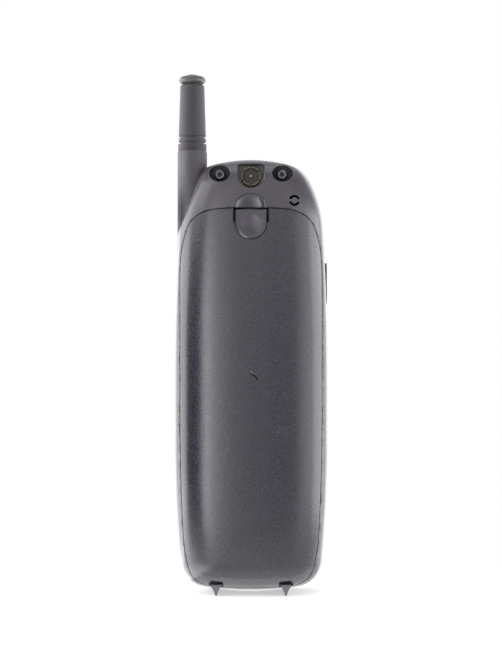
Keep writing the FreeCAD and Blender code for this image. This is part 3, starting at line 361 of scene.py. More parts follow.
can_black = mottled("black_coated_can", (44, 45, 48), 1400.0, 0.12, 0.000008,
                    Metallic=0.4, Roughness=0.45)
boot_rubber = mottled("black_boot_rubber", (28, 28, 30), 1700.0, 0.12, 0.00001, Roughness=0.75)
dress(can_black, "earpiece_speaker", "ringer")
dress(tinplate, "microphone")
dress(boot_rubber, "mic_boot")

cloth_black = mottled("black_woven_cloth", (30, 30, 33), 6000.0, 0.3, Roughness=0.85, Sheen_Weight=0.3)


def node_tree_for_pieces(name, sizes):
    """An empty Geometry Nodes tree with named sizes. Gives the tree, its inputs and its output node."""
    tree = bpy.data.node_groups.new(name, "GeometryNodeTree")
    tree.interface.new_socket("Geometry", in_out="INPUT", socket_type="NodeSocketGeometry")
    for label, kind in sizes:
        tree.interface.new_socket(label, in_out="INPUT", socket_type="NodeSocket" + kind)
    tree.interface.new_socket("Geometry", in_out="OUTPUT", socket_type="NodeSocketGeometry")
    return tree, place(tree, "NodeGroupInput").outputs, place(tree, "NodeGroupOutput")


def copied(tree, points, shape, **more):
    """Copies of an object's mesh at points, with their Rotation or Scale."""
    shape = place(tree, "GeometryNodeObjectInfo", {"Object": shape}).outputs["Geometry"]
    return given_by(tree, "GeometryNodeInstanceOnPoints", {"Points": points, "Instance": shape, **more})


def grown(tree, seed_mesh, sizes):
    """Runs a Geometry Nodes tree on a mesh with these sizes, and gives the plain mesh that it makes."""
    carrier = set_up("carrier", seed_mesh)
    modifier = carrier.modifiers.new("grow", "NODES")
    modifier.node_group = tree
    for item in tree.interface.items_tree:
        if item.in_out == "INPUT" and item.name in sizes:
            modifier[item.identifier] = sizes[item.name]
    mesh = bpy.data.meshes.new_from_object(worked_out(carrier))
    bpy.data.objects.remove(carrier)
    return mesh


# One crossing of the cloth: a thread that arches over the one below it, in shares of the pitch.
arch = ((-0.95, -0.3), (-0.5, 0.18), (0.0, 0.34), (0.5, 0.18), (0.95, -0.3))     # along, rise
thread_half, thread_droop, thread_thick = 0.4, 0.12, 0.3
rows = []
for along, rise in arch:
    rows += [(along, -thread_half, rise - thread_droop), (along, 0.0, rise),
             (along, thread_half, rise - thread_droop), (along, 0.0, rise - thread_thick)]
sides = [(i + j, i + 4 + j, i + 4 + (j + 1) % 4, i + (j + 1) % 4)
         for i in range(0, 16, 4) for j in range(4)]
crossing = bpy.data.meshes.new("crossing")
crossing.from_pydata(rows, [], sides + [(0, 1, 2, 3), (19, 18, 17, 16)])
crossing_object = bpy.data.objects.new("crossing", crossing)

weave, given, result = node_tree_for_pieces(
    "woven_disc", [("Radius", "Float"), ("Pitch", "Float"), ("Threads", "Int"), ("Cloth", "Material"),
                   ("Thread", "Object"), ("Place", "Vector"), ("Facing", "Float")])
across = figured(weave, "MULTIPLY", given["Threads"], given["Pitch"])
grid = given_by(weave, "GeometryNodeMeshGrid", {
    "Size X": across, "Size Y": across, "Vertices X": given["Threads"], "Vertices Y": given["Threads"]})
from_middle = vectored(weave, "LENGTH", given_by(weave, "GeometryNodeInputPosition"))
beyond = given_by(weave, "FunctionNodeCompare", {"A": from_middle, "B": given["Radius"]},
                  data_type="FLOAT", operation="GREATER_THAN")
parity = figured(weave, "MODULO", given_by(weave, "GeometryNodeInputIndex"), 2.0)
kept = given_by(weave, "GeometryNodeStoreNamedAttribute", {
    "Geometry": grid, "Name": "over", "Value": parity}, data_type="FLOAT", domain="POINT")
disc = given_by(weave, "GeometryNodeDeleteGeometry", {"Geometry": kept, "Selection": beyond})
over = given_by(weave, "GeometryNodeInputNamedAttribute", {"Name": "over"}, data_type="FLOAT")
turned = given_by(weave, "ShaderNodeCombineXYZ", {"Z": figured(weave, "MULTIPLY", over, math.pi / 2)})
woven = copied(weave, disc, given["Thread"], Rotation=turned, Scale=given["Pitch"])
real = given_by(weave, "GeometryNodeRealizeInstances", {"Geometry": woven})
tipped = given_by(weave, "ShaderNodeCombineXYZ", {"X": given["Facing"]})
placed = given_by(weave, "GeometryNodeTransform", {
    "Geometry": real, "Rotation": tipped, "Translation": given["Place"]})
feed(result, Geometry=given_by(weave, "GeometryNodeSetMaterial", {
    "Geometry": placed, "Material": given["Cloth"]}))

# An odd number of threads makes the crossings alternate like a chessboard.
thread_pitch, cloth_margin, cloth_lift = 0.00032, 0.0002, 0.0002
for node, name, front, hidden in (("earpiece_mesh", "earpiece_cloth", True, ("earpiece_mesh",)),
                                  ("ringer", "ringer_cloth", False, ())):
    low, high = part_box(node)
    radius = (high.x - low.x) / 2 - cloth_margin
    level = (low.y if front else high.y) + cloth_lift
    cloth = grown(weave, bpy.data.meshes.new("cloth"), {
        "Radius": radius, "Pitch": thread_pitch, "Threads": int(2 * radius / thread_pitch) // 2 * 2 + 3,
        "Cloth": cloth_black, "Thread": crossing_object,
        "Place": ((low.x + high.x) / 2, level, (low.z + high.z) / 2),
        "Facing": math.pi / 2 if front else -math.pi / 2})
    piece_of(cloth, name, "phone", None, hidden)


# Vibrator: a small can motor, and on its shaft a half-round weight of sintered metal that shakes
# the phone as it spins.

weight_metal = mottled("sintered_metal", (126, 122, 118), 2600.0, 0.14, 0.00001,
                       Metallic=1.0, Roughness=0.5)
dress(tinplate, "vibrator_motor")
dress(weight_metal, "vibrator_weight")


# Contacts: gold-plated leaves in a black block touch the battery's pads, and the socket in the
# bottom edge has nine gold-plated pins.

gilt = mottled("gold_plating", (214, 172, 92), 1300.0, 0.07, 0.000004, Metallic=1.0, Roughness=0.26)
block_black = mottled("black_connector_plastic", (26, 26, 28), 2100.0, 0.1, 0.000008, Roughness=0.5)
dress(gilt, "battery_springs", "accessory_contacts", "battery_contacts")
dress(block_black, "contact_block", "accessory_connector")


# Coaxial socket for a car aerial: a turned, nickel-plated brass shell with spring fingers, a round
# dark insulator and a copper-coloured middle pin. It is soldered to the board and shows in a pocket.

nickel = mottled("worn_nickel", (70, 67, 57), 1600.0, 0.55, 0.00001, 0.12, Metallic=1.0, Roughness=0.38)
insulator_grey = mottled("socket_insulator", (40, 38, 36), 1800.0, 0.1, 0.00001, Roughness=0.55)
copper = mottled("pin_plating", (158, 112, 84), 1500.0, 0.12, 0.000005, Metallic=1.0, Roughness=0.4)
smooth_copy("rf_connector_shell", "socket_shell", nickel, 40.0)
dress(insulator_grey, "rf_connector_insulator")
dress(copper, "rf_connector_pin")


# Inside of the aerial: a coated rod in a guide tube, a wound coil in the stub and a threaded insert
# in the tower. The rod pulls up through them all, as far as the steel stop at its foot.

steel_bright = mottled("bright_steel", (176, 177, 180), 900.0, 0.05, Metallic=1.0, Roughness=0.24)
coil_wire = mottled("plated_coil_wire", (196, 160, 96), 1500.0, 0.08, Metallic=1.0, Roughness=0.3)
tube_black = mottled("black_nylon_tube", (36, 36, 39), 1200.0, 0.08, Roughness=0.5)
rod_black = mottled("coated_rod", (44, 43, 46), 1600.0, 0.12, 0.00001, 0.05, Roughness=0.36)
dress(rod_black, "antenna_whip")
dress(steel_bright, "whip_stop")
dress(coil_wire, "antenna_helix")
dress(tube_black, "whip_tube")
dress(nickel, "antenna_ferrule")


# Front shell: dark slate ABS, injection moulded with a fine spark-eroded grain, glossier where hands
# have rubbed its edges, which are painted paler as wear and as highlight. The two shells meet at a fine
# shadow line down the sides, painted dark.

# Sharp edges: where a form turns sharply, by comparing its normal with a rounded one. The mask places
# edges painted paler, as wear and as highlight, and edges painted dark as shade in a groove.
sharp_edges, given, result = shader_group("sharp_edge_mask", [("Width", "Float", 0.0004)], [("Mask", "Float")])
softened = given_by(sharp_edges, "ShaderNodeBevel", {"Radius": given["Width"]}, samples=6)
plain = place(sharp_edges, "ShaderNodeNewGeometry").outputs["Normal"]
likeness = vectored(sharp_edges, "DOT_PRODUCT", softened, plain)
patchy = noise(sharp_edges, spot_on(sharp_edges), 420.0, 3.0)
mask = figured(sharp_edges, "MULTIPLY", ranged(sharp_edges, likeness, 0.995, 0.86),
               ranged(sharp_edges, patchy, 0.35, 0.65, 0.35))
feed(result, Mask=mask)

# Dust: few small pale specks, each in its own cell of a scattered pattern.
dust, given, result = shader_group(
    "dust_specks", [("Cells per metre", "Float", 330.0), ("Share", "Float", 0.06),
                    ("Size", "Float", 0.055)], [("Mask", "Float")])
cells = place(dust, "ShaderNodeTexVoronoi", {
    "Vector": spot_on(dust), "Scale": given["Cells per metre"]}).outputs
lot = given_by(dust, "ShaderNodeSeparateColor", {"Color": cells["Color"]})
mask = figured(dust, "MULTIPLY", figured(dust, "LESS_THAN", lot, given["Share"]),
               figured(dust, "LESS_THAN", cells["Distance"], given["Size"]))
feed(result, Mask=mask)

# Hairlines: long thin marks of handling, mostly up and down the phone.
hairlines, given, result = shader_group(
    "hairlines", [("Lean", "Vector", (0.0, 0.25, 0.0)), ("Fineness", "Float", 1.0)], [("Mask", "Float")])
leaned = given_by(hairlines, "ShaderNodeMapping", {
    "Vector": spot_on(hairlines), "Rotation": given["Lean"], "Scale": (900.0, 900.0, 32.0)})
strands = noise(hairlines, leaned, given["Fineness"], 1.0)
off_line = figured(hairlines, "ABSOLUTE", figured(hairlines, "SUBTRACT", strands, 0.5))
patches = noise(hairlines, spot_on(hairlines), 75.0)
mask = figured(hairlines, "MULTIPLY", ranged(hairlines, off_line, 0.0, 0.006, 1.0, 0.0),
               ranged(hairlines, patches, 0.56, 0.66))
feed(result, Mask=mask)

# Soot and shade: the walls and floor of a deep oval well are painted dark, as dirt and as the shade that
# falls in them. The centre is the well's, at its mouth, and the reach is its half width and half height,
# with a 1 between them.
well_shade_full, well_shade_end = -0.0012, -0.0065     # depths at which the painted shade and dirt are thickest and at which they end
hollow, given, result = shader_group(
    "hollow", [("Centre", "Vector", (0, 0, 0)), ("Reach", "Vector", (0.003, 1.0, 0.003))],
    [("Mask", "Float")])
from_centre = vectored(hollow, "SUBTRACT", spot_on(hollow), given["Centre"])
parts = place(hollow, "ShaderNodeSeparateXYZ", {0: from_centre}).outputs
flat = given_by(hollow, "ShaderNodeCombineXYZ", {"X": parts["X"], "Z": parts["Z"]})
radius = vectored(hollow, "LENGTH", vectored(hollow, "DIVIDE", flat, given["Reach"]))
inside = figured(hollow, "LESS_THAN", radius, 1.0)
mask = figured(hollow, "MULTIPLY", inside, ranged(hollow, parts["Y"], 0.0, well_shade_full))
mask = figured(hollow, "MULTIPLY", mask, figured(hollow, "GREATER_THAN", parts["Y"], well_shade_end))
feed(result, Mask=mask)

# Scuff: a short worn stroke between two points, ragged at its edge.
scuff, given, result = shader_group(
    "scuff", [("Start", "Vector", (0, 0, 0)), ("End", "Vector", (0, 0, 0)), ("Width", "Float", 0.0004)],
    [("Mask", "Float")])
spot = spot_on(scuff)
from_start = vectored(scuff, "SUBTRACT", spot, given["Start"])
whole = vectored(scuff, "SUBTRACT", given["End"], given["Start"])
share = figured(scuff, "DIVIDE", vectored(scuff, "DOT_PRODUCT", from_start, whole),
                vectored(scuff, "DOT_PRODUCT", whole, whole), use_clamp=True)
gone = figured(scuff, "DIVIDE", vectored(scuff, "DISTANCE", from_start, scaled(scuff, whole, share)),
               figured(scuff, "MULTIPLY", given["Width"], noise(scuff, spot, 3600.0)))
feed(result, Mask=ranged(scuff, gone, 0.7, 1.3, 1.0, 0.0))


def tinted_by(tree, below, mask, share, tint):
    """Mixes a tint over a colour where a mask says. Sockets 6 and 7 are the node's two colours."""
    amount = figured(tree, "MULTIPLY", mask, share)
    return place(tree, "ShaderNodeMix", {0: amount, 6: below, 7: tint}, data_type="RGBA").outputs[2]


def paler(base, rise):
    """A paint-chart colour made paler by the same step in each part."""
    return colour(*[min(255, part + rise) for part in base])


blotches_per_metre, blotch_gloss = 150.0, 0.015
# Edges painted paler by so much, as wear and as painted highlight, and made glossier where worn.
wear_and_highlight_width, wear_and_highlight_rise, rubbed_gloss = 0.00035, 46, -0.08
hairline_share, hairline_pale, scuff_share = 0.1, 40, 0.9
dust_laid = (0.55, colour(178, 176, 174))       # how much of the colour, and which
# Tints of painted shade in the pack's groove and in the parting line.
groove_shade_tint, seam_shadow_tint = (0.95, colour(16, 15, 18)), (0.85, colour(18, 18, 20))
# Tints of dirt and painted shade in the wells, and of painted shade at the tower's foot.
well_soot_and_shade, foot_shade_tint = (0.25, colour(14, 13, 15)), (0.9, colour(12, 12, 15))
well_shade_matt, light_lost = 0.5, 0.8                # how rough the painted well shade is, how much light a place painted dark loses
flank_start, flank_end = 0.0205, 0.0232         # X where the back starts to turn away and is a side
groove_front = 0.003                            # Y behind which an edge may be one of the pack's groove
groove_shade_width, flank_shade_width = 0.0008, 0.0015      # widths of the groove's painted shade, on back and side
seam_dark, seam_end = 0.00009, 0.00016          # half widths of the parting line, dark and in all
seam_depth, cut_depth = -12.0, -1.0             # the line's depth, and that of scuffs that are cuts
tower_edge, foot_shade_gain = 0.0006, 2.4            # how soft the tower's start is, how strong the painted shade at its foot
foot_top, foot_bottom = 0.1425, 0.13            # Z between which the tower's foot is painted darker as shade


def moulded(name, base, roughness, grain=2300.0, contrast=0.11, blotch=0.025, edge_wear_and_highlight=0.5, speck=0.05,
            parting=False, groove=None, tower=None, hollows=(), scuffs=(), relief=0.000007, sparkle=0.02,
            ior=1.5):
    """Moulded plastic in use: grain, blotches, edges glossier and painted paler as wear and highlight,
    dust, hairlines, scuffs and a parting line painted dark as shadow. Below the height of a groove,
    edges are painted dark as shade, and wells as dirt and shade. A tower is duller, beyond a sloping
    line, and its foot is painted dark as shade. Where shade is painted, and in deep scuffs, the shader
    is a dark metal so that no light comes back."""
    material, tree, shader = finish(name, Roughness=roughness, IOR=ior)
    fine = grouped(tree, mottle, Colour=colour(*base), Spots_per_metre=grain, Contrast=contrast)
    broad = grouped(tree, mottle, Colour=fine["Colour"], Spots_per_metre=blotches_per_metre,
                    Contrast=blotch)
    edges = grouped(tree, sharp_edges, Width=wear_and_highlight_width)["Mask"]
    spot = place(tree, "ShaderNodeSeparateXYZ", {0: spot_on(tree)}).outputs
    # Edges painted paler: worn plastic, and a painted highlight along rounded edges.
    shade = tinted_by(tree, broad["Colour"], edges, edge_wear_and_highlight, paler(base, wear_and_highlight_rise))
    painted_dark = 0.0
    # Painted shade: below the groove's height, edges are painted dark as the shade in the groove round
    # the pack.
    if groove:
        within = figured(tree, "MULTIPLY", figured(tree, "LESS_THAN", spot["Z"], groove),
                         figured(tree, "GREATER_THAN", spot["Y"], groove_front))
        width = ranged(tree, figured(tree, "ABSOLUTE", spot["X"]), flank_start, flank_end,
                       groove_shade_width, flank_shade_width)
        painted_dark = figured(tree, "MULTIPLY", within, grouped(tree, sharp_edges, Width=width)["Mask"])
        shade = tinted_by(tree, shade, painted_dark, *groove_shade_tint)
    lines, flecks = grouped(tree, hairlines)["Mask"], grouped(tree, dust, Share=speck)["Mask"]
    shade = tinted_by(tree, shade, lines, hairline_share, paler(base, hairline_pale))
    shade = tinted_by(tree, shade, flecks, *dust_laid)
    # Wells are painted dark, as dirt and as the shade that falls in them.
    well_shading = 0.0
    for centre, reach in hollows:
        well_shade_mask = grouped(tree, hollow, Centre=centre, Reach=reach)["Mask"]
        shade = tinted_by(tree, shade, well_shade_mask, *well_soot_and_shade)
        well_shading = figured(tree, "MAXIMUM", well_shade_mask, well_shading)
    height = fine["Value"]
    # The parting line: a fine groove, with its shadow painted dark.
    if parting:
        seam = ranged(tree, figured(tree, "ABSOLUTE", spot["Y"]), seam_dark, seam_end, 1.0, 0.0)
        shade = tinted_by(tree, shade, seam, *seam_shadow_tint)
        painted_dark = figured(tree, "MAXIMUM", seam, painted_dark)
        height = figured(tree, "MULTIPLY_ADD", seam, seam_depth, height)
    for start, end, width, depth, tint in scuffs:
        worn = grouped(tree, scuff, Start=start, End=end, Width=width)["Mask"]
        shade = tinted_by(tree, shade, worn, scuff_share, colour(*tint))
        if depth < cut_depth:
            painted_dark = figured(tree, "MAXIMUM", worn, painted_dark)
        height = figured(tree, "MULTIPLY_ADD", worn, depth, height)
    gloss = varied(tree, broad["Value"], roughness, blotch_gloss)
    gloss = figured(tree, "MULTIPLY_ADD", edges, rubbed_gloss, gloss)
    gloss = figured(tree, "ADD", gloss, varied(tree, fine["Value"], 0.0, sparkle))
    if tower:
        across, up, line, duller = tower
        reach = figured(tree, "MULTIPLY", spot["X"], across)
        reach = figured(tree, "MULTIPLY_ADD", spot["Z"], up, reach)
        beyond = ranged(tree, reach, line, line + tower_edge, 0.0, duller)
        gloss = figured(tree, "ADD", gloss, beyond)
        # The tower's foot is painted darker, as the shade that falls there.
        outer = ranged(tree, spot["X"], flank_start, flank_end, 0.0, foot_shade_gain)
        shaded_foot = figured(tree, "MULTIPLY", outer, ranged(tree, spot["Z"], foot_top, foot_bottom))
        shaded_foot = figured(tree, "MULTIPLY", shaded_foot, beyond, use_clamp=True)
        shade = tinted_by(tree, shade, shaded_foot, *foot_shade_tint)
        painted_dark = figured(tree, "MAXIMUM", shaded_foot, painted_dark)
    # Where shade is painted dark, and in deep scuffs, the shader is made metal, so that little light
    # comes back.
    if painted_dark:
        feed(shader, Metallic=figured(tree, "MULTIPLY", painted_dark, light_lost))
    # Painted well shade is also made rougher.
    if hollows:
        gloss = figured(tree, "MULTIPLY_ADD", well_shading, well_shade_matt, gloss)
    feed(shader, Base_Color=shade, Roughness=gloss, Normal=raised(tree, height, relief))
    return material


# The skin of both shells: every slice across the depth is one outline of arcs, drawn in towards a
# point near each end as the slice nears the front or the back.
half_width, waist = 0.026, 0.07
crown_arcs = [(2.0, 13.5), (0.4808, 64.0), (1.5385, 86.5)]     # radius in half widths, turn at its end
base_arcs = [(3.4615, 10.5), (0.3692, 85.0)]
crown_top, crown_pull, base_foot, base_pull = 0.146, 0.011, 0.0005, 0.012
last_slice, halvings = 84, 22                # turn of the slice where the skin ends, steps of the search
flat_depth, off_skin = 0.0001, 0.0002        # how near the flat face and the skin a point lies on them


def outline_arcs(arcs):
    """The arcs of one end as centre across and down, radius and turns, with the one that closes it."""
    placed, across, down, start, gone = [], 0.0, 0.0, 0.0, 0.0
    for radius, end in arcs:
        gone += radius * (math.sin(math.radians(end)) - math.sin(math.radians(start)))
        start = end
    last = ((1 - gone) / (1 - math.sin(math.radians(start))), 90.0)
    start = 0.0
    for radius, end in arcs + [last]:
        radius *= half_width
        middle = (across - radius * math.sin(start), down + radius * math.cos(start))
        end = math.radians(end)
        placed.append((middle, radius, start, end))
        across, down = middle[0] + radius * math.sin(end), middle[1] - radius * math.cos(end)
        start = end
    return placed


crown, base = outline_arcs(crown_arcs), outline_arcs(base_arcs)


def outside(point, narrowing):
    """How far a point is outside a slice's outline, the turn there, its place across and down from
    the end, and which end that is: 1 at the crown, -1 below."""
    across = abs(point.x) / narrowing
    if point.z > waist:
        arcs, up, down = crown, 1, (crown_top - crown_pull * (1 - narrowing) - point.z) / narrowing
    else:
        arcs, up, down = base, -1, (point.z - base_foot - base_pull * (1 - narrowing)) / narrowing
    if down >= arcs[-1][0][1]:
        return across - half_width, math.pi / 2, across, down, up
    for (middle_across, middle_down), radius, start, end in arcs:
        aside, over = across - middle_across, middle_down - down
        turn = math.atan2(aside, over)
        if start <= turn <= end:
            return math.hypot(aside, over) - radius, turn, across, down, up
    return -1.0, 0.0, across, down, up


def skin_facing(depth, power):
    """Gives a function that tells the way the skin faces at a point, or None away from the skin."""
    full = math.sin(math.radians(last_slice)) ** (2 / power) / abs(depth)
    least = (1 - (abs(depth) * full) ** power) ** (1 / power)
    known = {}

    def found(point):
        if point.y * depth < 0:
            return None
        if outside(point, least)[0] <= 0:
            on_flat = abs(point.y) > abs(depth) - flat_depth
            return Vector((0.0, math.copysign(1.0, depth), 0.0)) if on_flat else None
        low, high = least, 1.0
        for _ in range(halvings):
            narrowing = (low + high) / 2
            low, high = (narrowing, high) if outside(point, narrowing)[0] > 0 else (low, narrowing)
        away, turn, across, down, up = outside(point, narrowing)
        share = (1 - narrowing ** power) ** (1 / power)
        steepness = -full * share ** (power - 1) * narrowing ** (1 - power)
        pull = crown_pull if up > 0 else base_pull
        along = Vector((math.cos(turn), 0.0, -up * math.sin(turn)))
        inward = Vector((steepness * across, 1.0, up * steepness * (pull - down)))
        true = along.cross(inward).normalized()
        if true.dot((math.sin(turn), 0.0, up * math.cos(turn))) < 0:
            true.negate()
        if abs(abs(point.y) - share / full) * abs(true.y) > off_skin or abs(away) * narrowing > off_skin:
            return None
        return Vector((math.copysign(true.x, point.x), math.copysign(true.y, depth), true.z))

    def facing(point):
        place_key = tuple(round(part, 7) for part in point)
        if place_key not in known:
            known[place_key] = found(point)
        return known[place_key]

    return facing


rear_skin, front_skin = skin_facing(0.0131, 3.0), skin_facing(-0.01275, 3.5)
shell_slate = moulded("shell_slate", (63, 59, 68), 0.26, parting=True)
smooth_copy("front_housing", "front_shell", shell_slate, facing=front_skin)


# Keys: fifteen two-shot mouldings in charcoal, each with its legend in pale, green or red plastic.
# Their lips hold them behind the deck, and the silicone sheet pushes them up.

key_charcoal = moulded("key_charcoal", (38, 37, 41), 0.4, grain=2600.0, edge_wear_and_highlight=0.35, speck=0.0)
legend_pale = mottled("legend_plastic", (214, 214, 208), 1800.0, 0.05, Roughness=0.5)
legend_green = mottled("legend_green", (70, 150, 92), 1800.0, 0.05, Roughness=0.5)
legend_red = mottled("legend_red", (186, 62, 54), 1800.0, 0.05, Roughness=0.5)
legend_rise = 0.00004
digit_size, letter_size, digit_shift, letter_shift = 0.0046, 0.0017, 0.0022, 0.0021
star_drop, letter_drop, handset_drop, handset_size = 0.0008, 0.0001, 0.0003, 0.0019
bar_half, bar_height, bar_levels = 0.0016, 0.0003, (-0.00115, -0.00015, 0.00085)


def legend(words, size, x, z, face):
    """Flat letters that face out of the front, as a closed mesh."""
    text = bpy.data.curves.new("legend", "FONT")
    text.body, text.size, text.extrude, text.resolution_u = words, size, legend_rise, 3
    text.align_x = text.align_y = "CENTER"
    carrier = set_up("legend", text)
    mesh = bpy.data.meshes.new_from_object(worked_out(carrier))
    bpy.data.objects.remove(carrier)
    mesh.transform(Matrix.Translation((x, face, z)) @ Matrix.Rotation(math.pi / 2, 4, "X"))
    return mesh


def joined(meshes):
    """Several meshes as one."""
    form = bmesh.new()
    for mesh in meshes:
        form.from_mesh(mesh)
    mesh = bpy.data.meshes.new("joined")
    form.to_mesh(mesh)
    form.free()
    return mesh


def sign(outlines, x, z, face):
    """A flat sign from closed outlines, raised from the key by the legend's rise."""
    form = bmesh.new()
    for points in outlines:
        front = [form.verts.new((x + px, face - legend_rise, z + pz)) for px, pz in points]
        back = [form.verts.new((x + px, face + legend_rise, z + pz)) for px, pz in points]
        form.faces.new(front)
        form.faces.new(list(reversed(back)))
        for i in range(len(points)):
            j = (i + 1) % len(points)
            form.faces.new((front[j], front[i], back[i], back[j]))
    bmesh.ops.recalc_face_normals(form, faces=form.faces)
    mesh = bpy.data.meshes.new("sign")
    form.to_mesh(mesh)
    form.free()
    return mesh


def handset(size, lifted):
    """Outline of a telephone handset: a bowed handle with a block at each end."""
    points = []
    for i in range(11):
        turn = math.radians(160 - 14 * i)
        points.append((size * math.cos(turn), size * 0.62 * math.sin(turn)))
    points += [(size * 1.0, -size * 0.12), (size * 0.52, -size * 0.12), (size * 0.5, size * 0.16)]
    for i in range(7):
        turn = math.radians(35 + 110 * i / 6)
        points.append((size * 0.55 * math.cos(turn), size * 0.33 * math.sin(turn)))
    points += [(-size * 0.5, size * 0.16), (-size * 0.52, -size * 0.12), (-size * 1.0, -size * 0.12)]
    lean = math.radians(-52 if lifted else 0)
    return [(px * math.cos(lean) - pz * math.sin(lean), px * math.sin(lean) + pz * math.cos(lean))
            for px, pz in points]


key_words = {"key_1": ("1", ""), "key_2": ("2", "ABC"), "key_3": ("3", "DEF"), "key_4": ("4", "GHI"),
             "key_5": ("5", "JKL"), "key_6": ("6", "MNO"), "key_7": ("7", "PQRS"), "key_8": ("8", "TUV"),
             "key_9": ("9", "WXYZ"), "key_star": ("*", ""), "key_0": ("0", "+"), "key_hash": ("#", "")}
key_inks = {"key_send": legend_green, "key_menu": legend_pale, "key_end": legend_red}
for name in list(key_words) + list(key_inks):
    low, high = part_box(name)
    x, z = (low.x + high.x) / 2, (low.z + high.z) / 2
    smooth_copy(name, name + "_cap_moulding", key_charcoal)
    if name in key_words:
        digit, letters = key_words[name]
        shift = digit_shift if letters else 0.0
        drop = star_drop if digit == "*" else 0.0
        marks = [legend(digit, digit_size, x - shift, z - drop, low.y)]
        if letters:
            marks.append(legend(letters, letter_size, x + letter_shift, z - letter_drop, low.y))
        mark = joined(marks)
    elif name == "key_menu":
        bars = [[(-bar_half, level), (bar_half, level), (bar_half, level + bar_height),
                 (-bar_half, level + bar_height)] for level in bar_levels]
        mark = sign(bars, x, z, low.y)
    else:
        mark = sign([handset(handset_size, name == "key_send")], x, z - handset_drop, low.y)
    ink = key_inks.get(name, legend_pale)
    piece_of(mark, name + "_legend", nodes[name]["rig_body"], ink)


# Flip: a moulded cover over the number keys, with a plate glued inside it and a small magnet near
# its free edge. Its barrel turns on two steel pins in the foot of the front shell.

flip_slate = moulded("flip_slate", (54, 52, 60), 0.3, edge_wear_and_highlight=0.55)
panel_slate = moulded("flip_panel_slate", (50, 49, 56), 0.38, edge_wear_and_highlight=0.3)
magnet_grey = mottled("sintered_magnet", (92, 92, 96), 1900.0, 0.1, Metallic=0.7, Roughness=0.45)
smooth_copy("flip_cover", "flip", flip_slate)
smooth_copy("flip_inner_panel", "flip_panel", panel_slate)
dress(magnet_grey, "flip_magnet")
dress(steel_bright, "flip_hinge_pins")


# Rear shell: the same dark slate ABS, with wells for two screws, a pocket for the coaxial socket
# and two curved ringer slots in its head, the aerial's tower at one shoulder and the battery bay.

tower_start = (0.896, 0.443, 0.0754, 0.42)     # shares of X and Z, their sum at its start, how dull
bay_top = 0.1297
screw_well, socket_well = (0.00347, 1.0, 0.00287), (0.0034, 1.0, 0.0034)
# The wells' mouths. Their walls are painted dark as dirt and shade.
well_mouths = [((-0.0104, 0.0088, 0.1406), screw_well), ((0.0104, 0.0088, 0.1406), screw_well),
               ((0.0, 0.0092, 0.1403), socket_well)]
# Its bay edges and its tower's foot are painted dark as shade.
rear_slate = moulded("rear_slate", (63, 59, 68), 0.26, parting=True, groove=bay_top, tower=tower_start,
                     hollows=well_mouths)
smooth_copy("rear_housing", "rear_shell", rear_slate, facing=rear_skin)


# Case screws: four pan-head steel screws with a six-lobe drive, blackened, two deep in the wells of
# the head and two under the battery. They run into posts of the front shell.

screw_seats = [(-0.0104, 0.0065, 0.1406), (0.0104, 0.0065, 0.1406),
               (-0.0145, 0.0029, 0.016), (0.0145, 0.0029, 0.016)]
# Radius and height in millimetres, up from the tip: point, thread, shank and head.
thread_turns, thread_pitch, crest, root, first_crest, first_root = 12, 0.5, 0.98, 0.82, -6.95, -6.7
screw_profile = [(0.45, -7.5), (0.8, -7.15)]
for i in range(thread_turns):
    screw_profile += [(crest, first_crest + thread_pitch * i), (root, first_root + thread_pitch * i)]
screw_profile += [(0.98, -0.7), (0.98, 0.0), (1.62, 0.0), (1.725, 0.1), (1.725, 0.72), (1.68, 0.98),
                  (1.56, 1.17), (1.38, 1.28), (1.2, 1.3), (1.08, 1.27), (1.0, 1.2)]
recess_profile = ((1.06, 1.17), (1.0, 1.08), (0.96, 0.5))     # share of the drive's own outline, height
drive_radius, lobe_height, lobes = 0.76, 0.13, 6
tip_height, recess_floor, steps = -7.6, 0.42, 72


def lobed(turn):
    """Radius of the drive recess at an angle."""
    return drive_radius + lobe_height * math.cos(lobes * turn)


def screw_ring(height, radius_at):
    """Points round the screw's axis at a height, with their radius at each angle."""
    turns = [2 * math.pi * i / steps for i in range(steps)]
    return [form.verts.new((radius_at(turn) * math.cos(turn), height, -radius_at(turn) * math.sin(turn)))
            for turn in turns]


form = bmesh.new()
shade_layer = form.verts.layers.float.new("recess")
rings = [screw_ring(height, lambda turn: radius) for radius, height in screw_profile]
rings += [screw_ring(height, lambda turn: share * lobed(turn)) for share, height in recess_profile]
for vert in rings[-2] + rings[-1]:
    vert[shade_layer] = 1.0
for ring, above in zip(rings, rings[1:]):
    for i in range(steps):
        form.faces.new((ring[i], ring[(i + 1) % steps], above[(i + 1) % steps], above[i]))
tip, floor = form.verts.new((0, tip_height, 0)), form.verts.new((0, recess_floor, 0))
floor[shade_layer] = 1.0
for i in range(steps):
    form.faces.new((tip, rings[0][(i + 1) % steps], rings[0][i]))
    form.faces.new((floor, rings[-1][i], rings[-1][(i + 1) % steps]))
bmesh.ops.recalc_face_normals(form, faces=form.faces)
for face in form.faces:
    face.smooth = True
for edge in form.edges:
    edge.smooth = edge.calc_face_angle(0.0) < math.radians(38)
bmesh.ops.scale(form, vec=(0.001, 0.001, 0.001), verts=form.verts)
screw_mesh = bpy.data.meshes.new("screw")
form.to_mesh(screw_mesh)
form.free()
screw_object = bpy.data.objects.new("screw", screw_mesh)

screw_steel, tree, shader = finish("blackened_steel", Metallic=0.85, Roughness=0.42)
plating = grouped(tree, mottle, Colour=colour(90, 87, 90), Spots_per_metre=2600.0, Contrast=0.16)
# The drive recess is painted darker, as the shade that falls in it.
recess_shade = place(tree, "ShaderNodeAttribute", attribute_name="recess").outputs["Fac"]
feed(shader, Base_Color=tinted_by(tree, plating["Colour"], recess_shade, 0.9, colour(20, 19, 20)),
     Roughness=varied(tree, plating["Value"], 0.42, 0.08))


